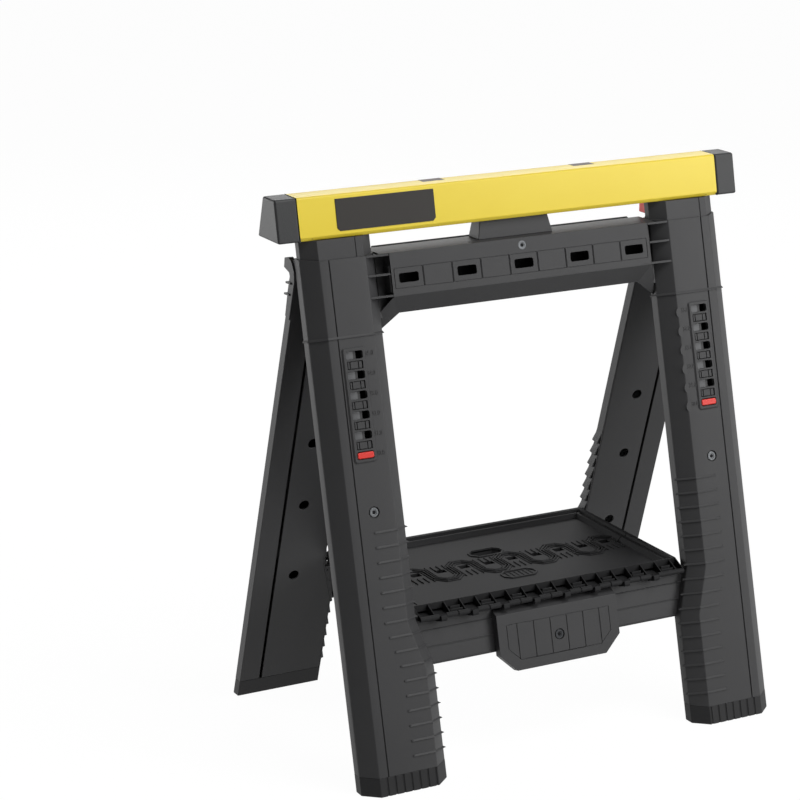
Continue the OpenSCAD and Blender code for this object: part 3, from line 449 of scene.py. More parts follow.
def front_leg(name, side):
    """Shell of a front leg; side is 1 on the right and -1 on the left."""
    rings = []
    for flare, z, level in ((FLARE, FOOT_H, True), (FLARE, FLARE_LOW_Z, False),
                            (0, FLARE_TOP_Z, False), (0, TOP_Z, True)):
        rings.append([on_front(side*x, y, up_leg(z, y if level else -LEG_D))
                      for x, y in shell_outline(flare)])
    leg = loft(name, rings)
    groove = prism("groove", box_outline(side*SEAM_X, 0, SEAM_W, LEG_REACH, 0),
                   on_front_face, -SEAM_DEEP, LIGHT_CLEAR)
    sink = prism("sink", circle(side*LEG_SCREW_X, LEG_SCREW_H, SCREW_RING_D/2),
                 on_front_face, -SINK_DEEP, LIGHT_CLEAR)
    carve(leg, join("cuts", [groove, sink]))
    centre = side*LEG_X
    middle = WIN_LOW + (WINDOWS - 1)*WIN_STEP/2
    width = WIN_W + 2*SCALE_MARGIN
    height = (WINDOWS - 1)*WIN_STEP + WIN_H + 2*SCALE_MARGIN
    flat = box_outline(centre, middle, width, height, SCALE_ROUND)
    base = box_outline(centre, middle, width + 2*SCALE_SLOPE, height + 2*SCALE_SLOPE,
                       SCALE_FOOT_ROUND)
    levels = [(base, out) for out in SCALE_LEVELS] + [(flat, SCALE_PROUD)]
    raised = loft("scale", [[on_front_face(x, h, out) for x, h in outline]
                            for outline, out in levels])
    for piece in (leg, raised):
        window = prism("window", box_outline(centre, WIN_LOW, WIN_W, WIN_H, WIN_ROUND),
                       on_front_face, -WIN_DEEP, CLEAR)
        notch = prism("notch", box_outline(centre, WIN_LOW + WIN_STEP/2, NOTCH_W, NOTCH_H,
                                           NOTCH_ROUND), on_front_face, -NOTCH_DEEP, CLEAR)
        carve(piece, join("openings", [repeat(window, WINDOWS, WIN_UP),
                                       repeat(notch, WINDOWS - 1, WIN_UP)]))
        soften(piece, LEG_EDGE)
    return join(name, [leg, raised])


for side, name in SIDES:
    leg = front_leg(f"front_{name}_leg_shell", side)
    dress(leg, polypropylene, "front_frame", "grey_plastic", f"front_{name}_leg")

# Height scale: bars moulded between the windows, raised numerals for each setting beside them
# and, on the right leg, rounded pads that carry the numerals over the edge of the face.
NUMERALS = ("30.0", "31.0", "32.0", "33.0", "34.0", "35.0")
NUMERAL_H = 9.0
NUMERAL_OFF = 22.5
NUMERAL_PROUD = 0.5
NUMERAL_NARROW = 0.8
BARS = ((-10.2, -7.6, 1.2), (-6.8, 4.2, 1.5), (5.4, 10, 1.2))
BAR_H = NOTCH_H - 1.8
BAR_ROUND = 0.3
PAD_L = 7.8
PAD_H = 8.5
PAD_X = LEG_X - LEG_FACE_W/2 + 5
PAD_DROP = 3
PAD_DEEP = 8
PAD_PROUD = 0.05
PAD_EDGE = 0.5
PAD_STEPS = 12


def numeral(text, x, h):
    """Raised figures on the front face, centred on a point."""
    curve = bpy.data.curves.new("figures", "FONT")
    curve.body = text
    curve.size = NUMERAL_H
    curve.align_x = "CENTER"
    curve.align_y = "CENTER"
    curve.extrude = NUMERAL_PROUD
    curve.resolution_u = 3
    typed = put("figures", curve)
    bpy.context.view_layer.update()
    shaped = typed.evaluated_get(bpy.context.evaluated_depsgraph_get())
    mesh = bpy.data.meshes.new_from_object(shaped)
    bpy.data.objects.remove(typed)
    for vertex in mesh.vertices:
        u, v, out = vertex.co
        vertex.co = on_front_face(x + NUMERAL_NARROW*u, h + v, out)
    return put("figures", mesh)


for side, name in SIDES:
    bars = []
    for u0, u1, out in BARS:
        bar = prism("bar", box_outline(side*LEG_X + (u0 + u1)/2, WIN_LOW + WIN_STEP/2, u1 - u0,
                                       BAR_H, BAR_ROUND), on_front_face, -LEG_WALL/2, out)
        bars.append(repeat(soften(bar, LEG_EDGE), WINDOWS - 1, WIN_UP, polypropylene))
    figures = [numeral(text, side*(LEG_X - NUMERAL_OFF), WIN_LOW + k*WIN_STEP)
               for k, text in enumerate(NUMERALS)]
    scale = join(f"{name}_height_scale", bars + figures)
    dress(scale, polypropylene, "front_frame", "grey_plastic")
pad = [(PAD_X - PAD_L*math.cos(t), WIN_LOW - PAD_DROP + PAD_H*math.sin(t))
       for t in (math.pi*(k/PAD_STEPS - 0.5) for k in range(PAD_STEPS + 1))]
pads = repeat(soften(prism("pad", pad, on_front_face, -PAD_DEEP, PAD_PROUD), PAD_EDGE),
              WINDOWS, WIN_UP, polypropylene)
pads.name = "right_numeral_pads"
dress(pads, polypropylene, "front_frame", "grey_plastic")

# Ribs and beads: ridges moulded across each leg's inner edge, from a dot on the face to a nub
# on the side, with one bead right round each front leg below the top rail. The front legs'
# ridges are thin; the rear legs' run deep and taper up to the next, like shingles.
RIB_TOP_Z = 333.7
RIB_PITCH_Z = 19.3
RIB_PROUD = 1.4
RIB_LEVELS = ((-1.5, 0), (-1.2, RIB_PROUD), (-0.6, RIB_PROUD))
FRONT_RIB = dict(deep=4, nub=1.6, tall=1.5)
REAR_RIB = dict(deep=LEG_SIDE_D - 2, nub=2.4, tall=15)
REAR_RIB_RISE = 4.2
RIBS_STRAIGHT = 7
RIBS_SLOPING = 3
RIBS_LOW = 6
NUB_TAPER = 0.8
NUB_STEP = 1
DOT_X = LEG_X - 1.2
DOT_R = 1.5
DOT_LEVELS = (-0.5, 1.0)
BEAD_Z = 583
BEAD_ROOT = 1
BEAD_PROFILE = ((-1.4, 0), (-1.1, 1.6), (-0.4, 1.6), (2, 0))


def on_rear(x, y, h):
    """Point of the rear frame, in metres, with the same axes as the front frame's."""
    back = -y*math.cos(LEAN_REAR) - h*math.sin(LEAN_REAR)
    rise = h*math.cos(LEAN_REAR) - y*math.sin(LEAN_REAR)
    return Vector((x, FOLD.y + back, FOLD.z + rise))*MM


def rib(place, side, h, flare, deep, nub, tall):
    """One rounded ridge from the face, over the inner chamfer, to a nub on the leg's side."""
    inner = leg_corners(flare, RIB_PROUD)
    dot_x = DOT_X - flare
    rings = []
    for level, proud in (*RIB_LEVELS, (tall, 0)):
        edge, bend = leg_corners(flare, -proud)[:2]
        outline = [(dot_x, -LEG_D - proud), bend, edge, (edge[0] - nub*proud, edge[1] + NUB_STEP),
                   (edge[0] - NUB_TAPER*nub*proud, edge[1] + deep), (inner[0][0], edge[1] + deep),
                   inner[0], inner[1], (dot_x, -LEG_D + RIB_PROUD)]
        rings.append([place(side*x, y, h + level) for x, y in outline])
    dot = prism("dot", [(side*x, v) for x, v in circle(dot_x, h, DOT_R, 10)],
                lambda x, v, out: place(x, -LEG_D - out, v), *DOT_LEVELS)
    return join("rib", [loft("rib", rings), dot])


def rib_rows(name, place, side, lean, top_z, shape):
    """All the ridges of one leg: above the flare, on it and below it."""
    pitch = RIB_PITCH_Z/math.cos(lean)
    top = up_leg(top_z, -LEG_D, lean)
    bend = up_leg(FLARE_TOP_Z, -LEG_D, lean)
    rate = FLARE/(bend - up_leg(FLARE_LOW_Z, -LEG_D, lean))
    down = place(0, 0, -pitch) - place(0, 0, 0)
    aside = Vector((side*pitch*rate*MM, 0, 0))
    first = top - RIBS_STRAIGHT*pitch
    last = first - RIBS_SLOPING*pitch
    rows = [(top, 0, RIBS_STRAIGHT, down), (first, (bend - first)*rate, RIBS_SLOPING, down - aside),
            (last, FLARE, RIBS_LOW, down)]
    return join(name, [repeat(rib(place, side, h, flare, **shape), count, step, polypropylene)
                       for h, flare, count, step in rows])


def bead(side):
    """Ridge right round the outside of a front leg."""
    h = up_leg(BEAD_Z, -LEG_D)
    inner = leg_corners(0, BEAD_ROOT)
    rings = []
    for level, proud in BEAD_PROFILE:
        outer = leg_corners(0, -proud)[::-1]
        outline = [(outer[0][0], -PLANE_GAP), *outer, (outer[3][0], -PLANE_GAP),
                   (inner[0][0], -PLANE_GAP), *inner, (inner[3][0], -PLANE_GAP)]
        rings.append([on_front(side*x, y, h + level) for x, y in outline])
    return loft("bead", rings)


for side, name in SIDES:
    ribs = rib_rows("ribs", on_front, side, LEAN_FRONT, RIB_TOP_Z, FRONT_RIB)
    dress(join(f"front_{name}_leg_ribs", [ribs, bead(side)]), polypropylene, "front_frame",
          "grey_plastic")
    dress(rib_rows(f"rear_{name}_leg_ribs", on_rear, side, LEAN_REAR, RIB_TOP_Z + REAR_RIB_RISE,
                   REAR_RIB), polypropylene, "rear_frame", "grey_plastic")

# Feet: tough rubber-like plastic shoes pushed over the ends of the legs, with upright grooves
# across the front and a rounded rim.
FOOT_ROUND = 0.8
MERGE_M = 2e-6
FLAT = math.radians(0.5)
# Thermoplastic rubber, moulded: near black and dull. Its grain is drawn coarser than it is.
thermoplastic_rubber = moulded("thermoplastic_rubber_moulded", "#222223", "#272728",
                               rough=0.6, grain=1.8, grain_lift=0.3)


def merged(node):
    """A solid of the frame with its loose triangles joined, for editing."""
    solid = bmesh.new()
    solid.from_mesh(frame["nodes"][node].data)
    bmesh.ops.remove_doubles(solid, verts=solid.verts, dist=MERGE_M)
    return solid


def cad_copy(node):
    """A solid of the frame as a clean mesh of its own."""
    solid = merged(node)
    bmesh.ops.dissolve_limit(solid, angle_limit=FLAT, verts=solid.verts, edges=solid.edges)
    bmesh.ops.triangulate(solid, faces=solid.faces, ngon_method="BEAUTY")
    solid.verts.index_update()
    mesh = bpy.data.meshes.new(node)
    mesh.from_pydata([v.co for v in solid.verts], [],
                     [[v.index for v in f.verts] for f in solid.faces])
    solid.free()
    return put(f"{node}_shape", mesh)


for end in ("front", "rear"):
    for _, name in SIDES:
        foot = soften(cad_copy(f"{end}_{name}_foot"), FOOT_ROUND)
        dress(foot, thermoplastic_rubber, f"{end}_frame", "foot_plastic", f"{end}_{name}_foot")

# Inside covers and rear legs: the same polypropylene. The covers close the open side of each
# leg up to the parting line, which is a groove, and are held by screws deep in round wells.
COVER_EDGE = 0.5
REAR_LEG_EDGE = 0.7
WELL_R = 7.6
WELL_DEEP = 14
PARTING_W = 4
PARTING_DEEP = 3
PARTING_L = 780
PARTING_MID_H = -300
INNER_CLEAR = 2


def inner_plane(place):
    """Flat place on the inside of a frame: across, up the leg, then off the plane."""
    return lambda x, h, y: place(x, y, h)


def middles(node):
    """Middles of the separate solids of a node, in millimetres."""
    solid = merged(node)
    seen = set()
    found = []
    for start in solid.verts:
        if start in seen:
            continue
        seen.add(start)
        island = [start]
        for vertex in island:
            for other in (edge.other_vert(vertex) for edge in vertex.link_edges):
                if other not in seen:
                    seen.add(other)
                    island.append(other)
        found.append(sum((vertex.co for vertex in island), Vector())/len(island)/MM)
    solid.free()
    return found


def wells(end, side, place, turn, lean):
    """Deep round holes over the cover screws of one leg."""
    holes = []
    for spot in middles(f"{end}_cover_screws"):
        if spot.x*side > 0:
            h = turn*(spot.y - FOLD.y)*math.sin(lean) + (spot.z - FOLD.z)*math.cos(lean)
            holes.append(prism("well", circle(spot.x, h, WELL_R, 24), inner_plane(place),
                               -WELL_DEEP, INNER_CLEAR))
    return join("wells", holes)


for side, name in SIDES:
    for end, *axes in (("front", on_front, 1, LEAN_FRONT), ("rear", on_rear, -1, LEAN_REAR)):
        cover = carve(cad_copy(f"{end}_{name}_cover"), wells(end, side, *axes))
        dress(soften(cover, COVER_EDGE), polypropylene, f"{end}_frame", "grey_plastic",
              f"{end}_{name}_cover")
    parting = prism("parting", box_outline(side*(SEAM_X + PARTING_W/2), PARTING_MID_H, PARTING_W,
                                           PARTING_L, 0),
                    inner_plane(on_rear), -PARTING_DEEP, INNER_CLEAR)
    leg = carve(cad_copy(f"rear_{name}_leg"), parting, wells("rear", side, *axes))
    dress(soften(leg, REAR_LEG_EDGE), polypropylene, "rear_frame", "grey_plastic",
          f"rear_{name}_leg")

# Rear leg heads: a cheek on the outside of each rear leg's top, with a hooked end and two fins
# that stiffen it, moulded with the leg.
CHEEK = [(-3.6, 680.7), (-12.5, 676), (-19.5, 664), (-19.8, 650), (-12.9, 628), (-6.3, 607),
         (-2.8, 596), (9, 600), (5, 616), (0, 636), (-6.5, 656), (-4.5, 660.5), (10.3, 665),
         (8.4, 678)]
CHEEK_T = 5
CHEEK_PROUD = 2.2
CHEEK_EDGE = 0.6
FIN_ENDS = ((1.5, 647), (6.5, 631))
FIN = ((-14, -1), (0, -1.6), (0, 1), (-14, 1.6))
FIN_EDGE = 0.3


def upright(x, y, z):
    """Point that leans with no frame, in metres."""
    return Vector((x, y, z))*MM


def along(name, section, place, low, high):
    """Solid with one section, from a low to a high x."""
    return loft(name, [[place(x, *point) for point in section] for x in (low, high)])


for side, name in SIDES:
    root = side*(LEG_OUT - CHEEK_T)
    head = [soften(along("cheek", CHEEK, upright, root, side*(LEG_OUT + CHEEK_PROUD)), CHEEK_EDGE)]
    for y, z in FIN_ENDS:
        fin = along("fin", [(y + v, z + w) for v, w in FIN], upright, root,
                    side*(LEG_OUT + 2*CHEEK_PROUD))
        head.append(soften(fin, FIN_EDGE))
    dress(join(f"rear_{name}_leg_head", head), polypropylene, "rear_frame", "grey_plastic")

# Top rails: moulded channels between the legs. The front one has a face with five slots, thin
# panel lines round them and a pocket behind each; the rear one is closed at its ends by webs.
RAIL_FACE_X = LEG_IN - 13.8
RAIL_FACE_H = 55.4
RAIL_WALL = 2.6
RAIL_EDGE = 0.4
RAIL_FACE_EDGE = 0.2
RAIL_FACE_ROUND = 0.4
RAIL_SCREW_Z = TOP_Z - 9.4
RAIL_SINK_R = 6
RAIL_SINK_DEEP = 1.2
SLOTS = 5
SLOT_ENDS = 0.42
SLOT_PITCH = 2*RAIL_FACE_X/(SLOTS - SLOT_ENDS)
SLOT_L = 29
SLOT_H = 12.5
SLOT_ROUND = 2.6
SLOT_DEEP = 27
SLOT_Z = TOP_Z - 32.9
LINE_W = 0.8
LINE_DEEP = 0.8
LINE_ROUND = 1.5
LINE_GAP_ROUND = 1
LINE_ROUND_STEP = 0.5
LINE_L = SLOT_L + 14
LINE_H = SLOT_H + 15
LINE_GAP_L = SLOT_PITCH - SLOT_L - 15
POCKET_IN = 22
POCKET_OUT = 25
POCKET_ROUND = 3
POCKET_FLOOR = 2
POCKET_LAP = 0.2
END_WEB_X = LEG_IN - 6.5
END_WEB_MID_H = -22
END_WEB_W = 14.5
END_WEB_H = 70
END_WEB_LEVELS = (-18, -15)
END_WEB_ROUND = 0.5
REAR_RAIL_EDGE = 0.5
slot_h = up_leg(SLOT_Z, -LEG_D)
slot_low = -(SLOTS - 1)/2*SLOT_PITCH
slot_step = Vector((SLOT_PITCH*MM, 0, 0))
rail_low = up_leg(TOP_Z - RAIL_FACE_H, -LEG_D)
rail_high = up_leg(TOP_Z, -LEG_D)
rail_mid = (rail_low + rail_high)/2
rail_screw_h = up_leg(RAIL_SCREW_Z, -LEG_D)


def frame_line(outline, inner, low, high, place=on_front_face):
    """A flat band between two outlines of equal count."""
    rings = [[place(*p, level) for p in line] for line, level in
             ((outline, low), (outline, high), (inner, high), (inner, low))]
    return loft("line", rings, ring_shaped=True)


def panel_line(u, width, r):
    """Cutter for a thin line round one field of the rail's face."""
    return frame_line(box_outline(u, slot_h, width, LINE_H, r),
                      box_outline(u, slot_h, width - 2*LINE_W, LINE_H - 2*LINE_W,
                                  r - LINE_ROUND_STEP),
                      -LINE_DEEP, LIGHT_CLEAR)


rail = cad_copy("front_top_rail")
carve(rail, prism("slab", box_outline(0, rail_mid + RAIL_WALL, 2*(RAIL_FACE_X + LIGHT_CLEAR),
                                      rail_high - rail_low, 0),
                  on_front_face, -RAIL_WALL/2, CLEAR))
dress(soften(rail, RAIL_EDGE), polypropylene, "front_frame", "grey_plastic", "front_top_rail")
face = prism("front_rail_face", box_outline(0, rail_mid, 2*RAIL_FACE_X, rail_high - rail_low,
                                            RAIL_FACE_ROUND), on_front_face, -RAIL_WALL, 0)
slot = prism("slot", box_outline(slot_low, slot_h, SLOT_L, SLOT_H, SLOT_ROUND),
             on_front_face, -CLEAR, CLEAR)
sink = prism("sink", circle(0, rail_screw_h, RAIL_SINK_R), on_front_face, -RAIL_SINK_DEEP, CLEAR)
carve(face, join("openings", [repeat(slot, SLOTS, slot_step), sink]))
line_slot = repeat(panel_line(slot_low, LINE_L, LINE_ROUND), SLOTS, slot_step)
line_gap = repeat(panel_line(slot_low + SLOT_PITCH/2, LINE_GAP_L, LINE_GAP_ROUND), SLOTS - 1,
                  slot_step)
carve(face, join("lines", [line_slot, line_gap]))
dress(soften(face, RAIL_FACE_EDGE), polypropylene, "front_frame", "grey_plastic")
pocket = [[on_front_face(u, v, out) for u, v in
           box_outline(slot_low, slot_h, SLOT_L + grow, SLOT_H + grow, POCKET_ROUND)]
          for grow, out in ((POCKET_IN, POCKET_FLOOR - SLOT_DEEP),
                            (POCKET_IN, POCKET_LAP - RAIL_WALL),
                            (POCKET_OUT, POCKET_LAP - RAIL_WALL), (POCKET_OUT, -SLOT_DEEP))]
pockets = repeat(loft("pocket", pocket), SLOTS, slot_step, polypropylene)
pockets.name = "front_rail_slot_pockets"
dress(pockets, polypropylene, "front_frame", "grey_plastic")
rear_rail = [soften(cad_copy("rear_top_rail"), REAR_RAIL_EDGE)]
for side, _ in SIDES:
    web = prism("web", box_outline(side*END_WEB_X, END_WEB_MID_H, END_WEB_W, END_WEB_H,
                                   END_WEB_ROUND), inner_plane(on_rear), *END_WEB_LEVELS)
    rear_rail.append(soften(web, FIN_EDGE))
dress(join("rear_top_rail_shape", rear_rail), polypropylene, "rear_frame", "grey_plastic",
      "rear_top_rail")

# Gussets and beam rest: sloping webs moulded in polypropylene that carry the lower edge of the
# front top rail down to the legs, each backed by a flat plate, and the block the beam lies on.
GUSSET = [(RAIL_FACE_X, -LEG_D, 0), (LEG_IN, -LEG_SIDE_D, -18), (LEG_IN, -LEG_SIDE_D/2, -42),
          (RAIL_FACE_X - 14, -LEG_SIDE_D, -22)]
GUSSET_EDGE = 0.5
BACKING = [(RAIL_FACE_X - 6, 3), (LEG_IN + 1, 3), (LEG_IN + 1, -26), (LEG_IN - 2, -26),
           (RAIL_FACE_X - 6, -12)]
REST_EDGE = 1.0
gussets = []
for side, _ in SIDES:
    web = loft("web", [[on_front(side*x, y + deep, rail_low + rise) for x, y, rise in GUSSET]
                       for deep in (0, RAIL_WALL)])
    backing = prism("backing", [(side*x, rail_low + rise) for x, rise in BACKING],
                    inner_plane(on_front), -LEG_SIDE_D, RAIL_WALL - LEG_SIDE_D)
    gussets += [soften(web, GUSSET_EDGE), backing]
dress(join("front_rail_gussets", gussets), polypropylene, "front_frame", "grey_plastic")
rest = soften(cad_copy("beam_rest"), REST_EDGE, 3)
dress(rest, polypropylene, "front_frame", "grey_plastic", "beam_rest")

# Shelf rails: bars low between the legs, with thin raised lines along the face and, in front,
# clips for the tray's rod and a panel that leans with the legs, grooved and held by one screw.
TRAY_HINGE = Vector(joints["tray_front_turn"]["pos_m"])/MM
hinge_off = TRAY_HINGE - FOLD
HINGE_Y = hinge_off.y*math.cos(LEAN_FRONT) - hinge_off.z*math.sin(LEAN_FRONT)
HINGE_H = hinge_off.y*math.sin(LEAN_FRONT) + hinge_off.z*math.cos(LEAN_FRONT)
SHELF_FACE = -4.7
SHELF_TOP = HINGE_H + 2
SHELF_LOW = HINGE_H - 63
SHELF_FLANGE = 4
SHELF_HOLLOW = -PLANE_GAP - 1.8
SHELF_EDGE = 0.6
SHELF_LINES = (HINGE_H - 16.6, HINGE_H - 38.8, HINGE_H - 61)
SHELF_LINE = ((0.5, -1.2), (-0.9, -0.8), (-1.1, 0), (0.5, 1.2))
STAY_T = 1.6
STAY_H = SHELF_TOP - SHELF_LOW - 6
STAY_STEP = 45
STAY_END = 180
STAY_DEEP = 2
CLIP_STEP = 47.8
CLIP_SHIFT = 17.2
CLIPS = 8
CLIP_W = 9
CLIP_X = CLIP_SHIFT - CLIPS/2*CLIP_STEP
CLIP_EDGE = 0.3
HOOK_ROOT = SHELF_FACE + 1
HOOK = [(HOOK_ROOT, -7), (HINGE_Y - 3, -6.6), (HINGE_Y - 5.6, -4.4), (HINGE_Y - 5.6, 1),
        (HINGE_Y - 3.6, 1), (HINGE_Y - 3.6, -3), (HINGE_Y + 3.6, -3), (HINGE_Y + 3.6, 1),
        (HOOK_ROOT, 1)]
HOOK_ROUND = [0, 1, 1.5, 0.6, 0.5, 2, 2, 0.5, 0]
PANEL_FACE = -16
PANEL_TOP_Z = 193.7
PANEL_BEND_Z = 140.7
PANEL_LOW_Z = 117.8
PANEL_HALF = 94.5
PANEL_LOW_HALF = 70
PANEL_ROOT = SHELF_FACE + 0.5
PANEL_BACK_RISE = 9
PANEL_TOP_CORNERS = (3, 4)
PANEL_CLEAR = 2
PANEL_GROOVES = 6
PANEL_PITCH = 25.9
GROOVE_W = 1.3
GROOVE_DEEP = 0.9
GROOVE_ROUND = 0.3
GROOVE_LOW_Z = 132
GROOVE_TOP_Z = 179.5
FIELD_DEEP = 0.7
FIELD_LINE = ((13.5, 14.5), (14.4, 15.4))
PANEL_SCREW_Z = 155
PANEL_WELL_R = 7.6
PANEL_WELL_DEEP = 2.4


def on_panel(x, h, out):
    """Point of the leaning panel's face, raised by out."""
    return on_front(x, PANEL_FACE - out, h)


def panel_outline(inset, top):
    """Six-sided outline of the panel or, set in, of the field inside it."""
    levels = [up_leg(z, PANEL_FACE) for z in (PANEL_LOW_Z, PANEL_BEND_Z, PANEL_TOP_Z)]
    low, bend, high = levels[0] + inset, levels[1] + inset/2, levels[2] - top
    return [(-PANEL_LOW_HALF + inset/2, low), (PANEL_LOW_HALF - inset/2, low),
            (PANEL_HALF - inset, bend), (PANEL_HALF - inset, high),
            (-PANEL_HALF + inset, high), (-PANEL_HALF + inset, bend)]


shelf = [(SHELF_FACE, SHELF_LOW), (-PLANE_GAP, SHELF_LOW), (-PLANE_GAP, SHELF_LOW + SHELF_FLANGE),
         (SHELF_HOLLOW, SHELF_LOW + SHELF_FLANGE), (SHELF_HOLLOW, SHELF_TOP - SHELF_FLANGE),
         (-PLANE_GAP, SHELF_TOP - SHELF_FLANGE), (-PLANE_GAP, SHELF_TOP), (SHELF_FACE, SHELF_TOP)]
shelf_parts = [soften(along("rail", shelf, on_front, -LEG_IN, LEG_IN), SHELF_EDGE)]
for h in SHELF_LINES:
    ridge = [(SHELF_FACE + y, h + v) for y, v in SHELF_LINE]
    shelf_parts.append(along("ridge", ridge, on_front, -LEG_IN, LEG_IN))
for x in range(-STAY_END, STAY_END + 1, STAY_STEP):
    stay = box_outline(x, (SHELF_LOW + SHELF_TOP)/2, STAY_T, STAY_H, 0)
    shelf_parts.append(prism("stay", stay, inner_plane(on_front), -PLANE_GAP - STAY_DEEP,
                             -PLANE_GAP))
hook = fillet([(y, HINGE_H + rise) for y, rise in HOOK], HOOK_ROUND, 3)
clip = along("clip", hook, on_front, CLIP_X - CLIP_W/2, CLIP_X + CLIP_W/2)
dress(join("front_shelf_rail_moulding", shelf_parts), polypropylene, "front_frame", "grey_plastic",
      "front_shelf_rail")
# Polypropylene of the tray and clips: darker and duller, as a rougher mould leaves it.
tray_plastic = moulded("polypropylene_tray", "#29292A", "#2F2F30",
                       rough=0.6, grain=1.6, grain_lift=0.25, specular=0.1)
clips = repeat(soften(clip, CLIP_EDGE), CLIPS, (CLIP_STEP*MM, 0, 0), tray_plastic)
clips.name = "front_rail_rod_clips"
dress(clips, tray_plastic, "front_frame", "grey_plastic")
rail = soften(cad_copy("rear_shelf_rail"), REAR_RAIL_EDGE)
dress(rail, polypropylene, "rear_frame", "grey_plastic", "rear_shelf_rail")
back = [on_front(x, PANEL_ROOT, h + (PANEL_BACK_RISE if i in PANEL_TOP_CORNERS else 0))
        for i, (x, h) in enumerate(panel_outline(0, 0))]
panel = loft("front_panel_moulding", [back, [on_panel(x, h, 0) for x, h in panel_outline(0, 0)]])
groove_low, groove_high = up_leg(GROOVE_LOW_Z, PANEL_FACE), up_leg(GROOVE_TOP_Z, PANEL_FACE)
groove = prism("groove", box_outline(-(PANEL_GROOVES - 1)/2*PANEL_PITCH,
                                     (groove_low + groove_high)/2, GROOVE_W,
                                     groove_high - groove_low, GROOVE_ROUND),
               on_panel, -GROOVE_DEEP, PANEL_CLEAR)
field = frame_line(*[panel_outline(*inset) for inset in FIELD_LINE], -FIELD_DEEP, PANEL_CLEAR,
                   on_panel)
panel_screw_h = up_leg(PANEL_SCREW_Z, PANEL_FACE)
well = prism("well", circle(0, panel_screw_h, PANEL_WELL_R), on_panel, -PANEL_WELL_DEEP,
             PANEL_CLEAR)
for cutter in (repeat(groove, PANEL_GROOVES, (PANEL_PITCH*MM, 0, 0)), field, well):
    carve(panel, cutter)
dress(soften(panel, LEG_EDGE), polypropylene, "front_frame", "grey_plastic", "front_rail_panel")

# Screws and pins: coated steel. The frame screws have a flanged head with a ring, and the panel's
# is darker;
# in each head's socket a near-black disc is painted shade for the hollow. The cover screws lie at
# the bottom of their wells.
CLOUD_PATCH = 3
SCREW_PROFILE = ((6.2, -2), (6.2, -0.4), (5.7, 0), (3.9, 0), (3.5, -0.6), (2.6, -0.7))
SCREW_SHADE_DISC_R = 2.5
SCREW_SHADE_DISC_LEVELS = (-1.5, -0.55)
LEG_SCREW_TOP = -0.3
RAIL_SCREW_TOP = 0.2
PANEL_SCREW_TOP = -0.4
SCREW_DROP = 12
STEEL_EDGE = 0.4


def plated(name, bright, dull, rough):
    """Coated steel: a metal's sheen, a little cloudy."""
    material, _, shader, _ = clouded(name, dull, bright, CLOUD_PATCH, Detail=2.0)
    shader.inputs["Metallic"].default_value = 1
    shader.inputs["Roughness"].default_value = rough
    return material


# Zinc flake is a pale dull grey, phosphate a dark grey, and black oxide nearly black.
zinc = plated("zinc_flake_coated_steel", "#727476", "#66686A", rough=0.55)
phosphate = plated("phosphated_steel", "#47484A", "#3E3F41", rough=0.6)
black_oxide = plated("black_oxide_steel", "#262627", "#1E1E1F", rough=0.65)


def screw_head(place, x, h, top):
    """Flanged head, with its flange at a level of the place it is set on, and a near-black disc in
    its socket as painted shade.
    """
    head = loft("screw", [[place(u, v, top + level) for u, v in circle(x, h, r)]
                          for r, level in SCREW_PROFILE])
    # The socket is a near-black disc in the head's dish: painted shade standing for the hole.
    socket = prism("socket", circle(x, h, SCREW_SHADE_DISC_R), place,
                   *[top + level for level in SCREW_SHADE_DISC_LEVELS])
    return head, socket


heads = [screw_head(on_front_face, side*LEG_SCREW_X, LEG_SCREW_H, LEG_SCREW_TOP)
         for side, _ in SIDES]
heads.append(screw_head(on_front_face, 0, rail_screw_h, RAIL_SCREW_TOP))
heads, socket_shade_discs = zip(*heads)
dress(join("front_frame_screw_heads", heads), zinc, "front_frame", "steel", "front_frame_screws")
head, socket = screw_head(on_panel, 0, panel_screw_h, PANEL_SCREW_TOP)
head.name = "front_panel_screw_head"
dress(head, phosphate, "front_frame", "steel")
# Near-black discs in the screw heads: painted shade for the hollows of the sockets.
dress(join("front_frame_screw_socket_shades", [*socket_shade_discs, socket]), black_oxide, "front_frame", "steel")
for node in ("fold_pins", "tray_front_rod"):
    dress(soften(cad_copy(node), STEEL_EDGE), black_oxide, "front_frame", "steel", node)
for end, place in (("front", on_front), ("rear", on_rear)):
    sunk = soften(cad_copy(f"{end}_cover_screws"), STEEL_EDGE)
    drop = place(0, -SCREW_DROP, 0) - place(0, 0, 0)
    for vertex in sunk.data.vertices:
        vertex.co += drop
    dress(sunk, black_oxide, f"{end}_frame", "steel", f"{end}_cover_screws")

# Beam: a channel folded from steel sheet with round bends, a hem and two lips underneath,
# powder coated yellow. Two notches in its top hold the grip pads.
BEAM_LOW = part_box("top_beam")[0]/MM
BEAM_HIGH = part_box("top_beam")[1]/MM
BEAM_IN = 11.8
BEAM_TOP_W = 34.1
BEAM_EDGE = 0.25
SHEET_T = 1.8
LIP_W = 12
HEM_H = 5
HEM_IN = 2.0
HEM_SHARE = 0.3
TOP_SHARE = 0.7
OUTER_BENDS = [0.3, 1.5, 2, 3.5, 3.5, 2, 1.5, 0.3]
INNER_BENDS = [0.3, 0.5, 0.8, 1.7, 1.7, 0.8, 0.5, 0.3]
GRIP_XS = (-111, 122.5)
GRIP_HALF = 16.5
GRIP_IN = 15
GRIP_PAST = 30
GRIP_H = 9
PAINT_PATCH = 60
PEEL = 2.5
PEEL_DEEP = 0.2
PEEL_LIFT = 0.12
PAINT_ROUGH = 0.38
PAINT_SPECULAR = 0.4


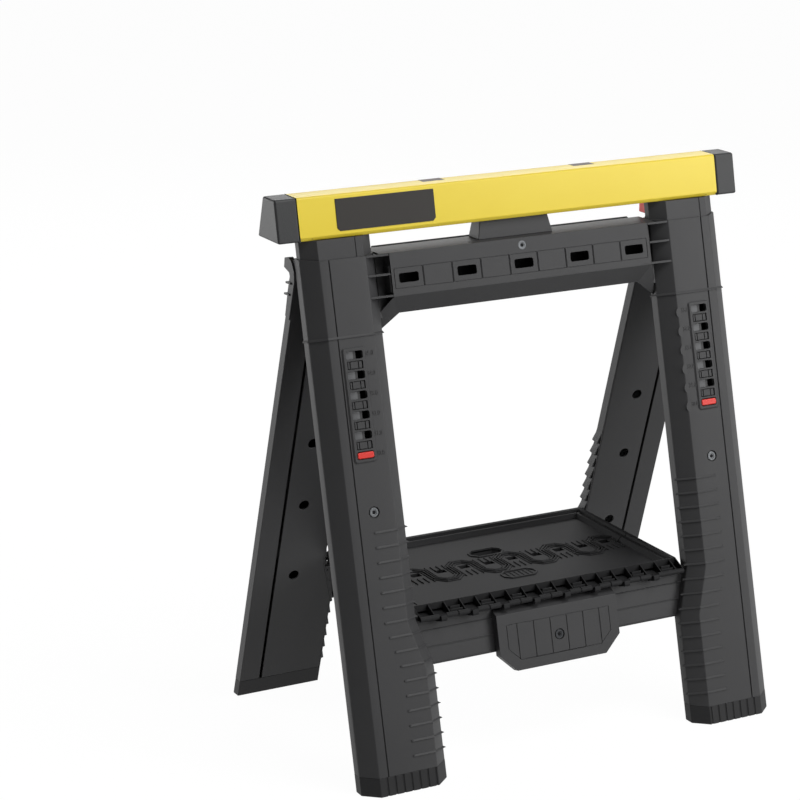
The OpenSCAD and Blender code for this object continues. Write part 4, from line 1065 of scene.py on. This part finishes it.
def powder_coat(name, deep, light):
    """Powder coating: even colour, soft gloss and a faint orange-peel surface."""
    material, tree, shader, place = clouded(name, deep, light, PAINT_PATCH, Detail=2.0)
    peel = add(tree, "ShaderNodeTexNoise", {"Vector": place.outputs["Object"],
                                            "Scale": 1/(PEEL*MM), "Detail": 1.0})
    lift = add(tree, "ShaderNodeBump", {"Height": peel.outputs["Fac"], "Strength": PEEL_LIFT,
                                        "Distance": PEEL_DEEP*MM})
    tree.links.new(lift.outputs["Normal"], shader.inputs["Normal"])
    shader.inputs["Roughness"].default_value = PAINT_ROUGH
    shader.inputs["Specular IOR Level"].default_value = PAINT_SPECULAR
    return material


# Powder-coated steel: a clear warm yellow, even from end to end, with a soft gloss.
yellow_coat = powder_coat("powder_coated_steel", "#EFD436", "#F1D83E")


def beam_corners(inset):
    """Corners of the beam's section, from the front lip's edge round to the back lip's."""
    front, back = BEAM_LOW.y, BEAM_HIGH.y
    low, high = BEAM_LOW.z, BEAM_HIGH.z
    hem = BEAM_IN*HEM_H/(high - low)
    return [(front + LIP_W, low + inset), (front + hem + HEM_IN + inset, low + inset),
            (front + hem + inset, low + HEM_H + inset*HEM_SHARE),
            (front + BEAM_IN + inset*TOP_SHARE, high - inset),
            (front + BEAM_IN + BEAM_TOP_W - inset*TOP_SHARE, high - inset),
            (back - hem - inset, low + HEM_H + inset*HEM_SHARE),
            (back - hem - HEM_IN - inset, low + inset), (back - LIP_W, low + inset)]


section = fillet(beam_corners(0) + beam_corners(SHEET_T)[::-1], OUTER_BENDS + INNER_BENDS, 5)
beam = along("top_beam_channel", section, upright, BEAM_LOW.x, BEAM_HIGH.x)
corner = BEAM_LOW.y + BEAM_IN + BEAM_TOP_W
notch = [(corner - GRIP_IN, BEAM_HIGH.z - GRIP_H), (corner + GRIP_PAST, BEAM_HIGH.z - GRIP_H),
         (corner + GRIP_PAST, BEAM_HIGH.z + GRIP_H), (corner - GRIP_IN, BEAM_HIGH.z + GRIP_H)]
carve(beam, join("notches", [along("notch", notch, upright, x - GRIP_HALF, x + GRIP_HALF)
                             for x in GRIP_XS]))
dress(soften(beam, BEAM_EDGE), yellow_coat, "beam", "yellow_steel", "top_beam")

# End caps: black ABS plugs pushed into the ends of the beam, with well rounded edges and a
# grained face. They keep within the box of their solids.
CAP_ROUND = 3
# ABS from a grained mould: black with a soft shine. Its grain is drawn coarser than it is.
abs_black = moulded("abs_moulded_grained", "#242526", "#2A2B2C",
                    rough=0.5, grain=2.2, grain_lift=0.4, specular=0.45)
for _, name in SIDES:
    cap = soften(cad_copy(f"{name}_end_cap"), CAP_ROUND, 5)
    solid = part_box(f"{name}_end_cap")
    for vertex in cap.data.vertices:
        vertex.co = [min(max(c, low), high) for c, low, high in zip(vertex.co, *solid)]
    dress(cap, abs_black, "beam", "cap_plastic", f"{name}_end_cap")

# Plate: a bare plate of enamelled sheet, set on the front of the beam.
# The enamel is a warm near-black with a soft, almost smooth gloss.
PLATE_EDGE = 0.3
plate_enamel = moulded("enamel_plate", "#2A2724", "#2E2B28", rough=0.5, grain=1.5, grain_lift=0.15)
plate = soften(cad_copy("name_plate"), PLATE_EDGE)
dress(plate, plate_enamel, "beam", "plate", "name_plate")

# Grip pads and beam screws: warm grey rubber blocks, moulded dull, let into the back edge of
# the beam's top, and the coated steel screws that hold the beam to its posts.
GRIP_EDGE = 0.6
grip_rubber = moulded("natural_rubber_moulded", "#6E6864", "#78726E",
                      rough=0.6, grain=1.5, grain_lift=0.3)
pads = soften(cad_copy("grip_pads"), GRIP_EDGE)
dress(pads, grip_rubber, "beam", "grip_rubber", "grip_pads")
dress(soften(cad_copy("beam_screws"), STEEL_EDGE), zinc, "beam", "steel", "beam_screws")

# Posts: hollow polypropylene mouldings that slide in the front legs and carry the beam. Behind
# each window a smooth block, made lighter as painted light, fills two thirds and a socket for the
# catch the rest.
CATCH_SOCKET_X = 8.2
CATCH_SOCKET_W = 8.5
CATCH_SOCKET_ROUND = 1.5
CATCH_SOCKET_LEVELS = (-14, -1)
BLOCK = [(-13, -4), (-13, 0.3), (-1, 0.3), (2.4, -0.6), (4.2, -2.2), (4.4, -4)]
BLOCK_BACK = 2.6
BLOCK_EDGE = 0.2
POST_EDGE = 0.4
# Polypropylene with a smoother sheen; its lighter colour is painted light for the lit post seen
# through the windows.
painted_light_grey = moulded("polypropylene_smooth_painted_light", "#505153", "#57585A",
                      rough=0.4, grain=1.5, grain_lift=0.1)
for side, name in SIDES:
    post = cad_copy(f"{name}_post")
    centre = side*LEG_X
    second = WIN_LOW + WIN_STEP
    socket = prism("socket", box_outline(centre + CATCH_SOCKET_X, second, CATCH_SOCKET_W, WIN_H,
                                         CATCH_SOCKET_ROUND), on_front_face, *CATCH_SOCKET_LEVELS)
    carve(post, repeat(socket, WINDOWS - 1, WIN_UP))
    dress(soften(post, POST_EDGE), polypropylene, "beam", "grey_plastic", f"{name}_post")
    # The blocks' lighter colour is painted light: it stands for the lit face of the post behind
    # each window.
    block = loft("block", [[on_front_face(centre + u, second + level, out - BLOCK_BACK)
                            for u, out in BLOCK] for level in (-WIN_H/2, WIN_H/2)])
    blocks = repeat(soften(block, BLOCK_EDGE), WINDOWS - 1, WIN_UP, painted_light_grey)
    blocks.name = f"{name}_setting_blocks"
    dress(blocks, painted_light_grey, "beam", "grey_plastic")

# Triggers, straps and catches: red ABS, moulded with rounded edges. A trigger hangs under the
# beam behind each post, and the catch at the strap's lower end stands in a window of the leg.
TRIGGER_EDGE = 0.9
CATCH_X = 0.3
CATCH_W = WIN_W - 0.8
CATCH_H = WIN_H - 2.4
CATCH_ROUND = 2.2
CATCH_LEVELS = (-11, 2.2)
CATCH_EDGE = 1.2
# ABS from a polished mould: a bright red with a clear gloss.
abs_red = moulded("abs_red_glossy", "#E23A33", "#E9433B", rough=0.35, grain=2.0, grain_lift=0.08)
for side, name in SIDES:
    for piece in ("trigger", "strap"):
        made = soften(cad_copy(f"{name}_{piece}"), TRIGGER_EDGE, 3)
        dress(made, abs_red, f"{name}_release", "red_plastic", f"{name}_{piece}")
    outline = box_outline(side*LEG_X + CATCH_X, WIN_LOW, CATCH_W, CATCH_H, CATCH_ROUND)
    catch = prism(f"{name}_catch_block", outline, on_front_face, *CATCH_LEVELS)
    dress(soften(catch, CATCH_EDGE, 3), abs_red, f"{name}_bolt", "red_plastic", f"{name}_catch")

# Tray: two polypropylene halves that hinge on steel rods and interlock with tongues. Each has
# a floor with ridges along the joint, a stepped rim, and a ribbed apron at its end hinge.
HINGE_REAR = sum(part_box("tray_rear_rod"), Vector())/2/MM
MID_Y, MID_Z = (sum(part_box("tray_middle_rod"), Vector())/2/MM).yz
TRAY_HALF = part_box("tray_front_half")[1].x/MM
RIM_H = 9
FLOOR_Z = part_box("tray_front_half")[1].z/MM - RIM_H
FLOOR_T = 3
TRAY_END = 19.4
TRAY_EDGE = 0.3
RIM_W = 8
RIM_LOW = -7
RIM_INSET = 2
RIM_STEPS = [(0, RIM_LOW), (0, RIM_H), (6.5, RIM_H), (7.5, 4.5), (11.5, 4.5), (12, 6.2), (15, 6.2),
             (20, 0), (20, -FLOOR_T), (2, RIM_LOW)]
LIP_STEPS = [(0, RIM_LOW), (0, RIM_H), (2, RIM_H), (5, 7.5), (11, 0), (11, -FLOOR_T), (2, RIM_LOW)]
TONGUES = 5
TONGUE_ENDS = 0.22
TONGUE_PITCH = 2*(TRAY_HALF - RIM_W)/(TONGUES + TONGUE_ENDS)
TONGUE_SHIFT = 16
TONGUE_REACH = 28
TONGUE_FLAT = 7
JOINT_GAP = 1.3
MITRE_LEAST = 0.3
ROOT = -1
RIDGES = ((1.3, 2.8, 2.0), (5.6, 7.0, 1.2))
PIT_X = 1.5
PIT_Y = {"front": 8.5, "rear": 6.5}
PIT = (15, 12, 0.5)
PIT_WALL = (17, 14, 0.5)
PIT_WALL_LEVELS = (-7, -FLOOR_T + 0.5)
PIT_BASE_LEVELS = (-8, -6.8)
FINS = 4
FIN_X = -13.5
FIN_PITCH = 9
FIN_Y = 17
FIN_SIZE = (1.2, 19, 0.2)
RAISED = 1.6
HOLE = (-3.5, 45.5)
HOLE_SIZE = (24, 11.5, 7.5)
HOLE_WALL = (26, 13.5, 8.3)
HOLE_WALL_LEVELS = (-13, -0.5)
GRIP = (-5.5, -51)
GRIP_OUTER = (27, 14.5, 9)
GRIP_INNER = (24.5, 12, 8)
GRIP_BARS = 6
GRIP_BAR_X = -17.5
GRIP_BAR_PITCH = 7
GRIP_BAR = (1.2, 20, 0.2)
GRIP_BAR_H = 1.0
KNUCKLE_R = 3.5
KNUCKLE_SIDES = 16
KNUCKLE_L = 17
KNUCKLE_OFFS = (0, 18.4)
CLIP_ROOM = CLIP_W + 2
RING_HALF = 0.4*(TONGUE_PITCH/2 - 3)
STEM_IN = 1
APRON_T = 1.6
APRON_LOW = -FLOOR_T - 3
APRON_WEB_TOP = -4
APRON_WEB_H = 2
APRON_DROP = 1
APRON_END_T = 1.2
APRON_BARS = ((9.5, 0.25), (7.5, 0.5))
APRON_BAR_RISE = 0.8*KNUCKLE_R
APRON_BAR = ((-0.8, -4), (0.8, -4), (0.8, 0), (-0.8, 0))
tongue_step = (TONGUE_PITCH*MM, 0, 0)
clip_step = (CLIP_STEP*MM, 0, 0)
rib_step = CLIP_STEP/2


def across_joint():
    """Corners of the joint between the halves, from left to right, about the middle rod."""
    wide = TONGUE_PITCH/4
    bend = TONGUE_REACH - wide + TONGUE_FLAT
    corners = [(-TRAY_HALF, 0)]
    for k in range(TONGUES):
        c = (k - (TONGUES - 1)/2)*TONGUE_PITCH + TONGUE_SHIFT
        between = c + TONGUE_PITCH/2
        corners += [(c - wide, 0)] if k == 0 else []
        corners += [(c - wide, bend), (c - TONGUE_FLAT, TONGUE_REACH),
                    (c + TONGUE_FLAT, TONGUE_REACH), (c + wide, bend)]
        corners += [(c + wide, 0)] if k == TONGUES - 1 else [
            (c + wide, -bend), (between - TONGUE_FLAT, -TONGUE_REACH),
            (between + TONGUE_FLAT, -TONGUE_REACH), (c + 3*wide, -bend)]
    return [Vector(corner) for corner in corners + [(TRAY_HALF, 0)]]


def beside(line, off):
    """The line moved sideways by an equal distance, to the left of its direction."""
    moved = []
    for i, point in enumerate(line):
        before = (point - line[i - 1]).normalized() if i else None
        after = (line[i + 1] - point).normalized() if i + 1 < len(line) else before
        before = before or after
        mean = (before + after).normalized()
        normal = Vector((-mean.y, mean.x))
        moved.append(point + normal*(off/max(MITRE_LEAST, mean.dot(after))))
    return moved


def on_tray(x, y, z):
    """Point of the flat tray in metres: y from the middle rod, z from the floor's top."""
    return Vector((x, MID_Y + y, FLOOR_Z + z))*MM


def octagon(x, y, half_l, half_w, cut):
    """Oblong outline with cut corners."""
    return [(x + sx*(half_l - (0 if first else cut)), y + sy*(half_w - (cut if first else 0)))
            for sx, sy, first in ((1, -1, True), (1, 1, True), (1, 1, False), (-1, 1, False),
                                  (-1, 1, True), (-1, -1, True), (-1, -1, False), (1, -1, False))]


seam = across_joint()
FRONT_EDGE = TRAY_HINGE.y + TRAY_END - MID_Y
REAR_EDGE = HINGE_REAR.y - TRAY_END - MID_Y
for half, ahead, edge, hinge in (("front", -1, FRONT_EDGE, TRAY_HINGE),
                                 ("rear", 1, REAR_EDGE, HINGE_REAR)):
    # Floor: pits under the tongues with closed bottoms, ridges along the joint, fins, and
    # the finger hole in the rear half or the grip bars in the front one.
    tongues = TONGUES if half == "front" else TONGUES - 1
    first = TONGUE_SHIFT - (TONGUES - 1)/2*TONGUE_PITCH + (0 if half == "front" else TONGUE_PITCH/2)
    pit_at = (first + PIT_X, PIT_Y[half])
    spot = GRIP if half == "front" else HOLE
    floor = prism("floor", [*beside(seam, ahead*JOINT_GAP), (TRAY_HALF, edge), (-TRAY_HALF, edge)],
                  on_tray, -FLOOR_T, 0)
    through = (on_tray, -FLOOR_T - LIGHT_CLEAR, LIGHT_CLEAR)
    pit = prism("pit", box_outline(*pit_at, *PIT), *through)
    cuts = [repeat(pit, tongues, tongue_step)]
    parts = [frame_line(octagon(*spot, *GRIP_OUTER), octagon(*spot, *GRIP_INNER), ROOT, RAISED,
                        on_tray)]
    if half == "rear":
        cuts.append(prism("hole", octagon(*HOLE, *HOLE_SIZE), *through))
        parts.append(frame_line(octagon(*HOLE, *HOLE_WALL), octagon(*HOLE, *HOLE_SIZE),
                                *HOLE_WALL_LEVELS, on_tray))
    else:
        grip = prism("grip", box_outline(GRIP[0] + GRIP_BAR_X, GRIP[1], *GRIP_BAR), on_tray, ROOT,
                     GRIP_BAR_H)
        parts.append(repeat(grip, GRIP_BARS, (GRIP_BAR_PITCH*MM, 0, 0)))
    parts.append(carve(floor, join("openings", cuts)))
    for near, far, high in RIDGES:
        strip = beside(seam, ahead*near) + beside(seam, ahead*far)[::-1]
        parts.append(prism("ridge", strip, on_tray, ROOT, high))
    at_tongues = [frame_line(box_outline(*pit_at, *PIT_WALL), box_outline(*pit_at, *PIT),
                             *PIT_WALL_LEVELS, on_tray),
                  prism("base", box_outline(*pit_at, *PIT_WALL), on_tray, *PIT_BASE_LEVELS)]
    at_tongues += [prism("fin", box_outline(first + FIN_X + FIN_PITCH*k, ahead*FIN_Y, *FIN_SIZE),
                         on_tray, ROOT, RAISED) for k in range(FINS)]

    # Middle knuckles: one under each tongue, round the middle rod.
    under = MID_Z - FLOOR_Z
    stem = [(ahead*v, w) for v, w in ((STEM_IN, under), (KNUCKLE_R, under), (KNUCKLE_R, ROOT),
                                      (STEM_IN, ROOT))]
    for section in (circle(0, under, KNUCKLE_R, KNUCKLE_SIDES), stem):
        at_tongues.append(along("ring", section, on_tray, first - RING_HALF, first + RING_HALF))
    parts += [repeat(one, tongues, tongue_step) for one in at_tongues]

    # Rim: an outer ledge, a groove and an inner ridge, along the sides and the rear.
    for side, _ in SIDES:
        parts.append(loft("rim", [[on_tray(side*(TRAY_HALF - off), y, z) for off, z in RIM_STEPS]
                                  for y in (ahead*JOINT_GAP/2, edge - ahead*RIM_INSET)]))
    if half == "rear":
        end_rim = [(edge + RIM_W - off, z) for off, z in RIM_STEPS]
    else:
        end_rim = [(edge + off, z) for off, z in LIP_STEPS]
    parts.append(along("rim", end_rim, on_tray, -TRAY_HALF, TRAY_HALF))

    # Apron: thin ribs between the rim and the knuckles of the end hinge, over a sloping web.
    rim_y = edge if half == "front" else edge + RIM_W
    root_y = rim_y - ahead
    hinge_y = hinge.y - MID_Y
    hinge_z = hinge.z - FLOOR_Z
    low_z = hinge_z - APRON_DROP
    flank = [(root_y, RIM_H), (hinge_y, hinge_z + KNUCKLE_R), (hinge_y, low_z),
             (root_y, APRON_LOW)]
    web = [(root_y, APRON_WEB_TOP), (hinge_y, low_z), (hinge_y, low_z - APRON_WEB_H),
           (root_y, APRON_LOW)]
    first_rib = CLIP_SHIFT - (CLIPS + 0.5)*rib_step
    one = along("rib", flank, on_tray, first_rib - APRON_T/2, first_rib + APRON_T/2)
    parts.append(repeat(one, 2*CLIPS + 1, (rib_step*MM, 0, 0)))
    parts.append(along("web", web, on_tray, -TRAY_HALF, TRAY_HALF))
    for low in (-TRAY_HALF, TRAY_HALF - APRON_END_T):
        parts.append(along("cheek", flank, on_tray, low, low + APRON_END_T))
    bar_x = CLIP_SHIFT - (CLIPS - 1)*rib_step
    for half_l, share in APRON_BARS:
        y = hinge_y + (rim_y - hinge_y)*share
        z = hinge_z + APRON_BAR_RISE + (RIM_H - hinge_z - KNUCKLE_R)*share
        bar = along("bar", [(y + dy, z + dz) for dy, dz in APRON_BAR], on_tray, bar_x - half_l,
                    bar_x + half_l)
        parts.append(repeat(bar, CLIPS, clip_step))
    knuckle = circle(hinge_y, hinge_z, KNUCKLE_R, KNUCKLE_SIDES)
    start = CLIP_X + CLIP_ROOM/2
    for off in KNUCKLE_OFFS:
        segment = along("knuckle", knuckle, on_tray, start + off, start + off + KNUCKLE_L)
        parts.append(repeat(segment, CLIPS - 1, clip_step))
    for low, high in ((-TRAY_HALF, start - CLIP_ROOM), (start + (CLIPS - 1)*CLIP_STEP, TRAY_HALF)):
        parts.append(along("knuckle", knuckle, on_tray, low, high))
    tray = soften(join(f"tray_{half}_moulding", parts), TRAY_EDGE, 1)
    dress(tray, tray_plastic, f"tray_{half}", "grey_plastic", f"tray_{half}_half")
for node, body in (("tray_middle_rod", "tray_front"), ("tray_rear_rod", "tray_rear")):
    dress(soften(cad_copy(node), STEEL_EDGE), black_oxide, body, "steel", node)
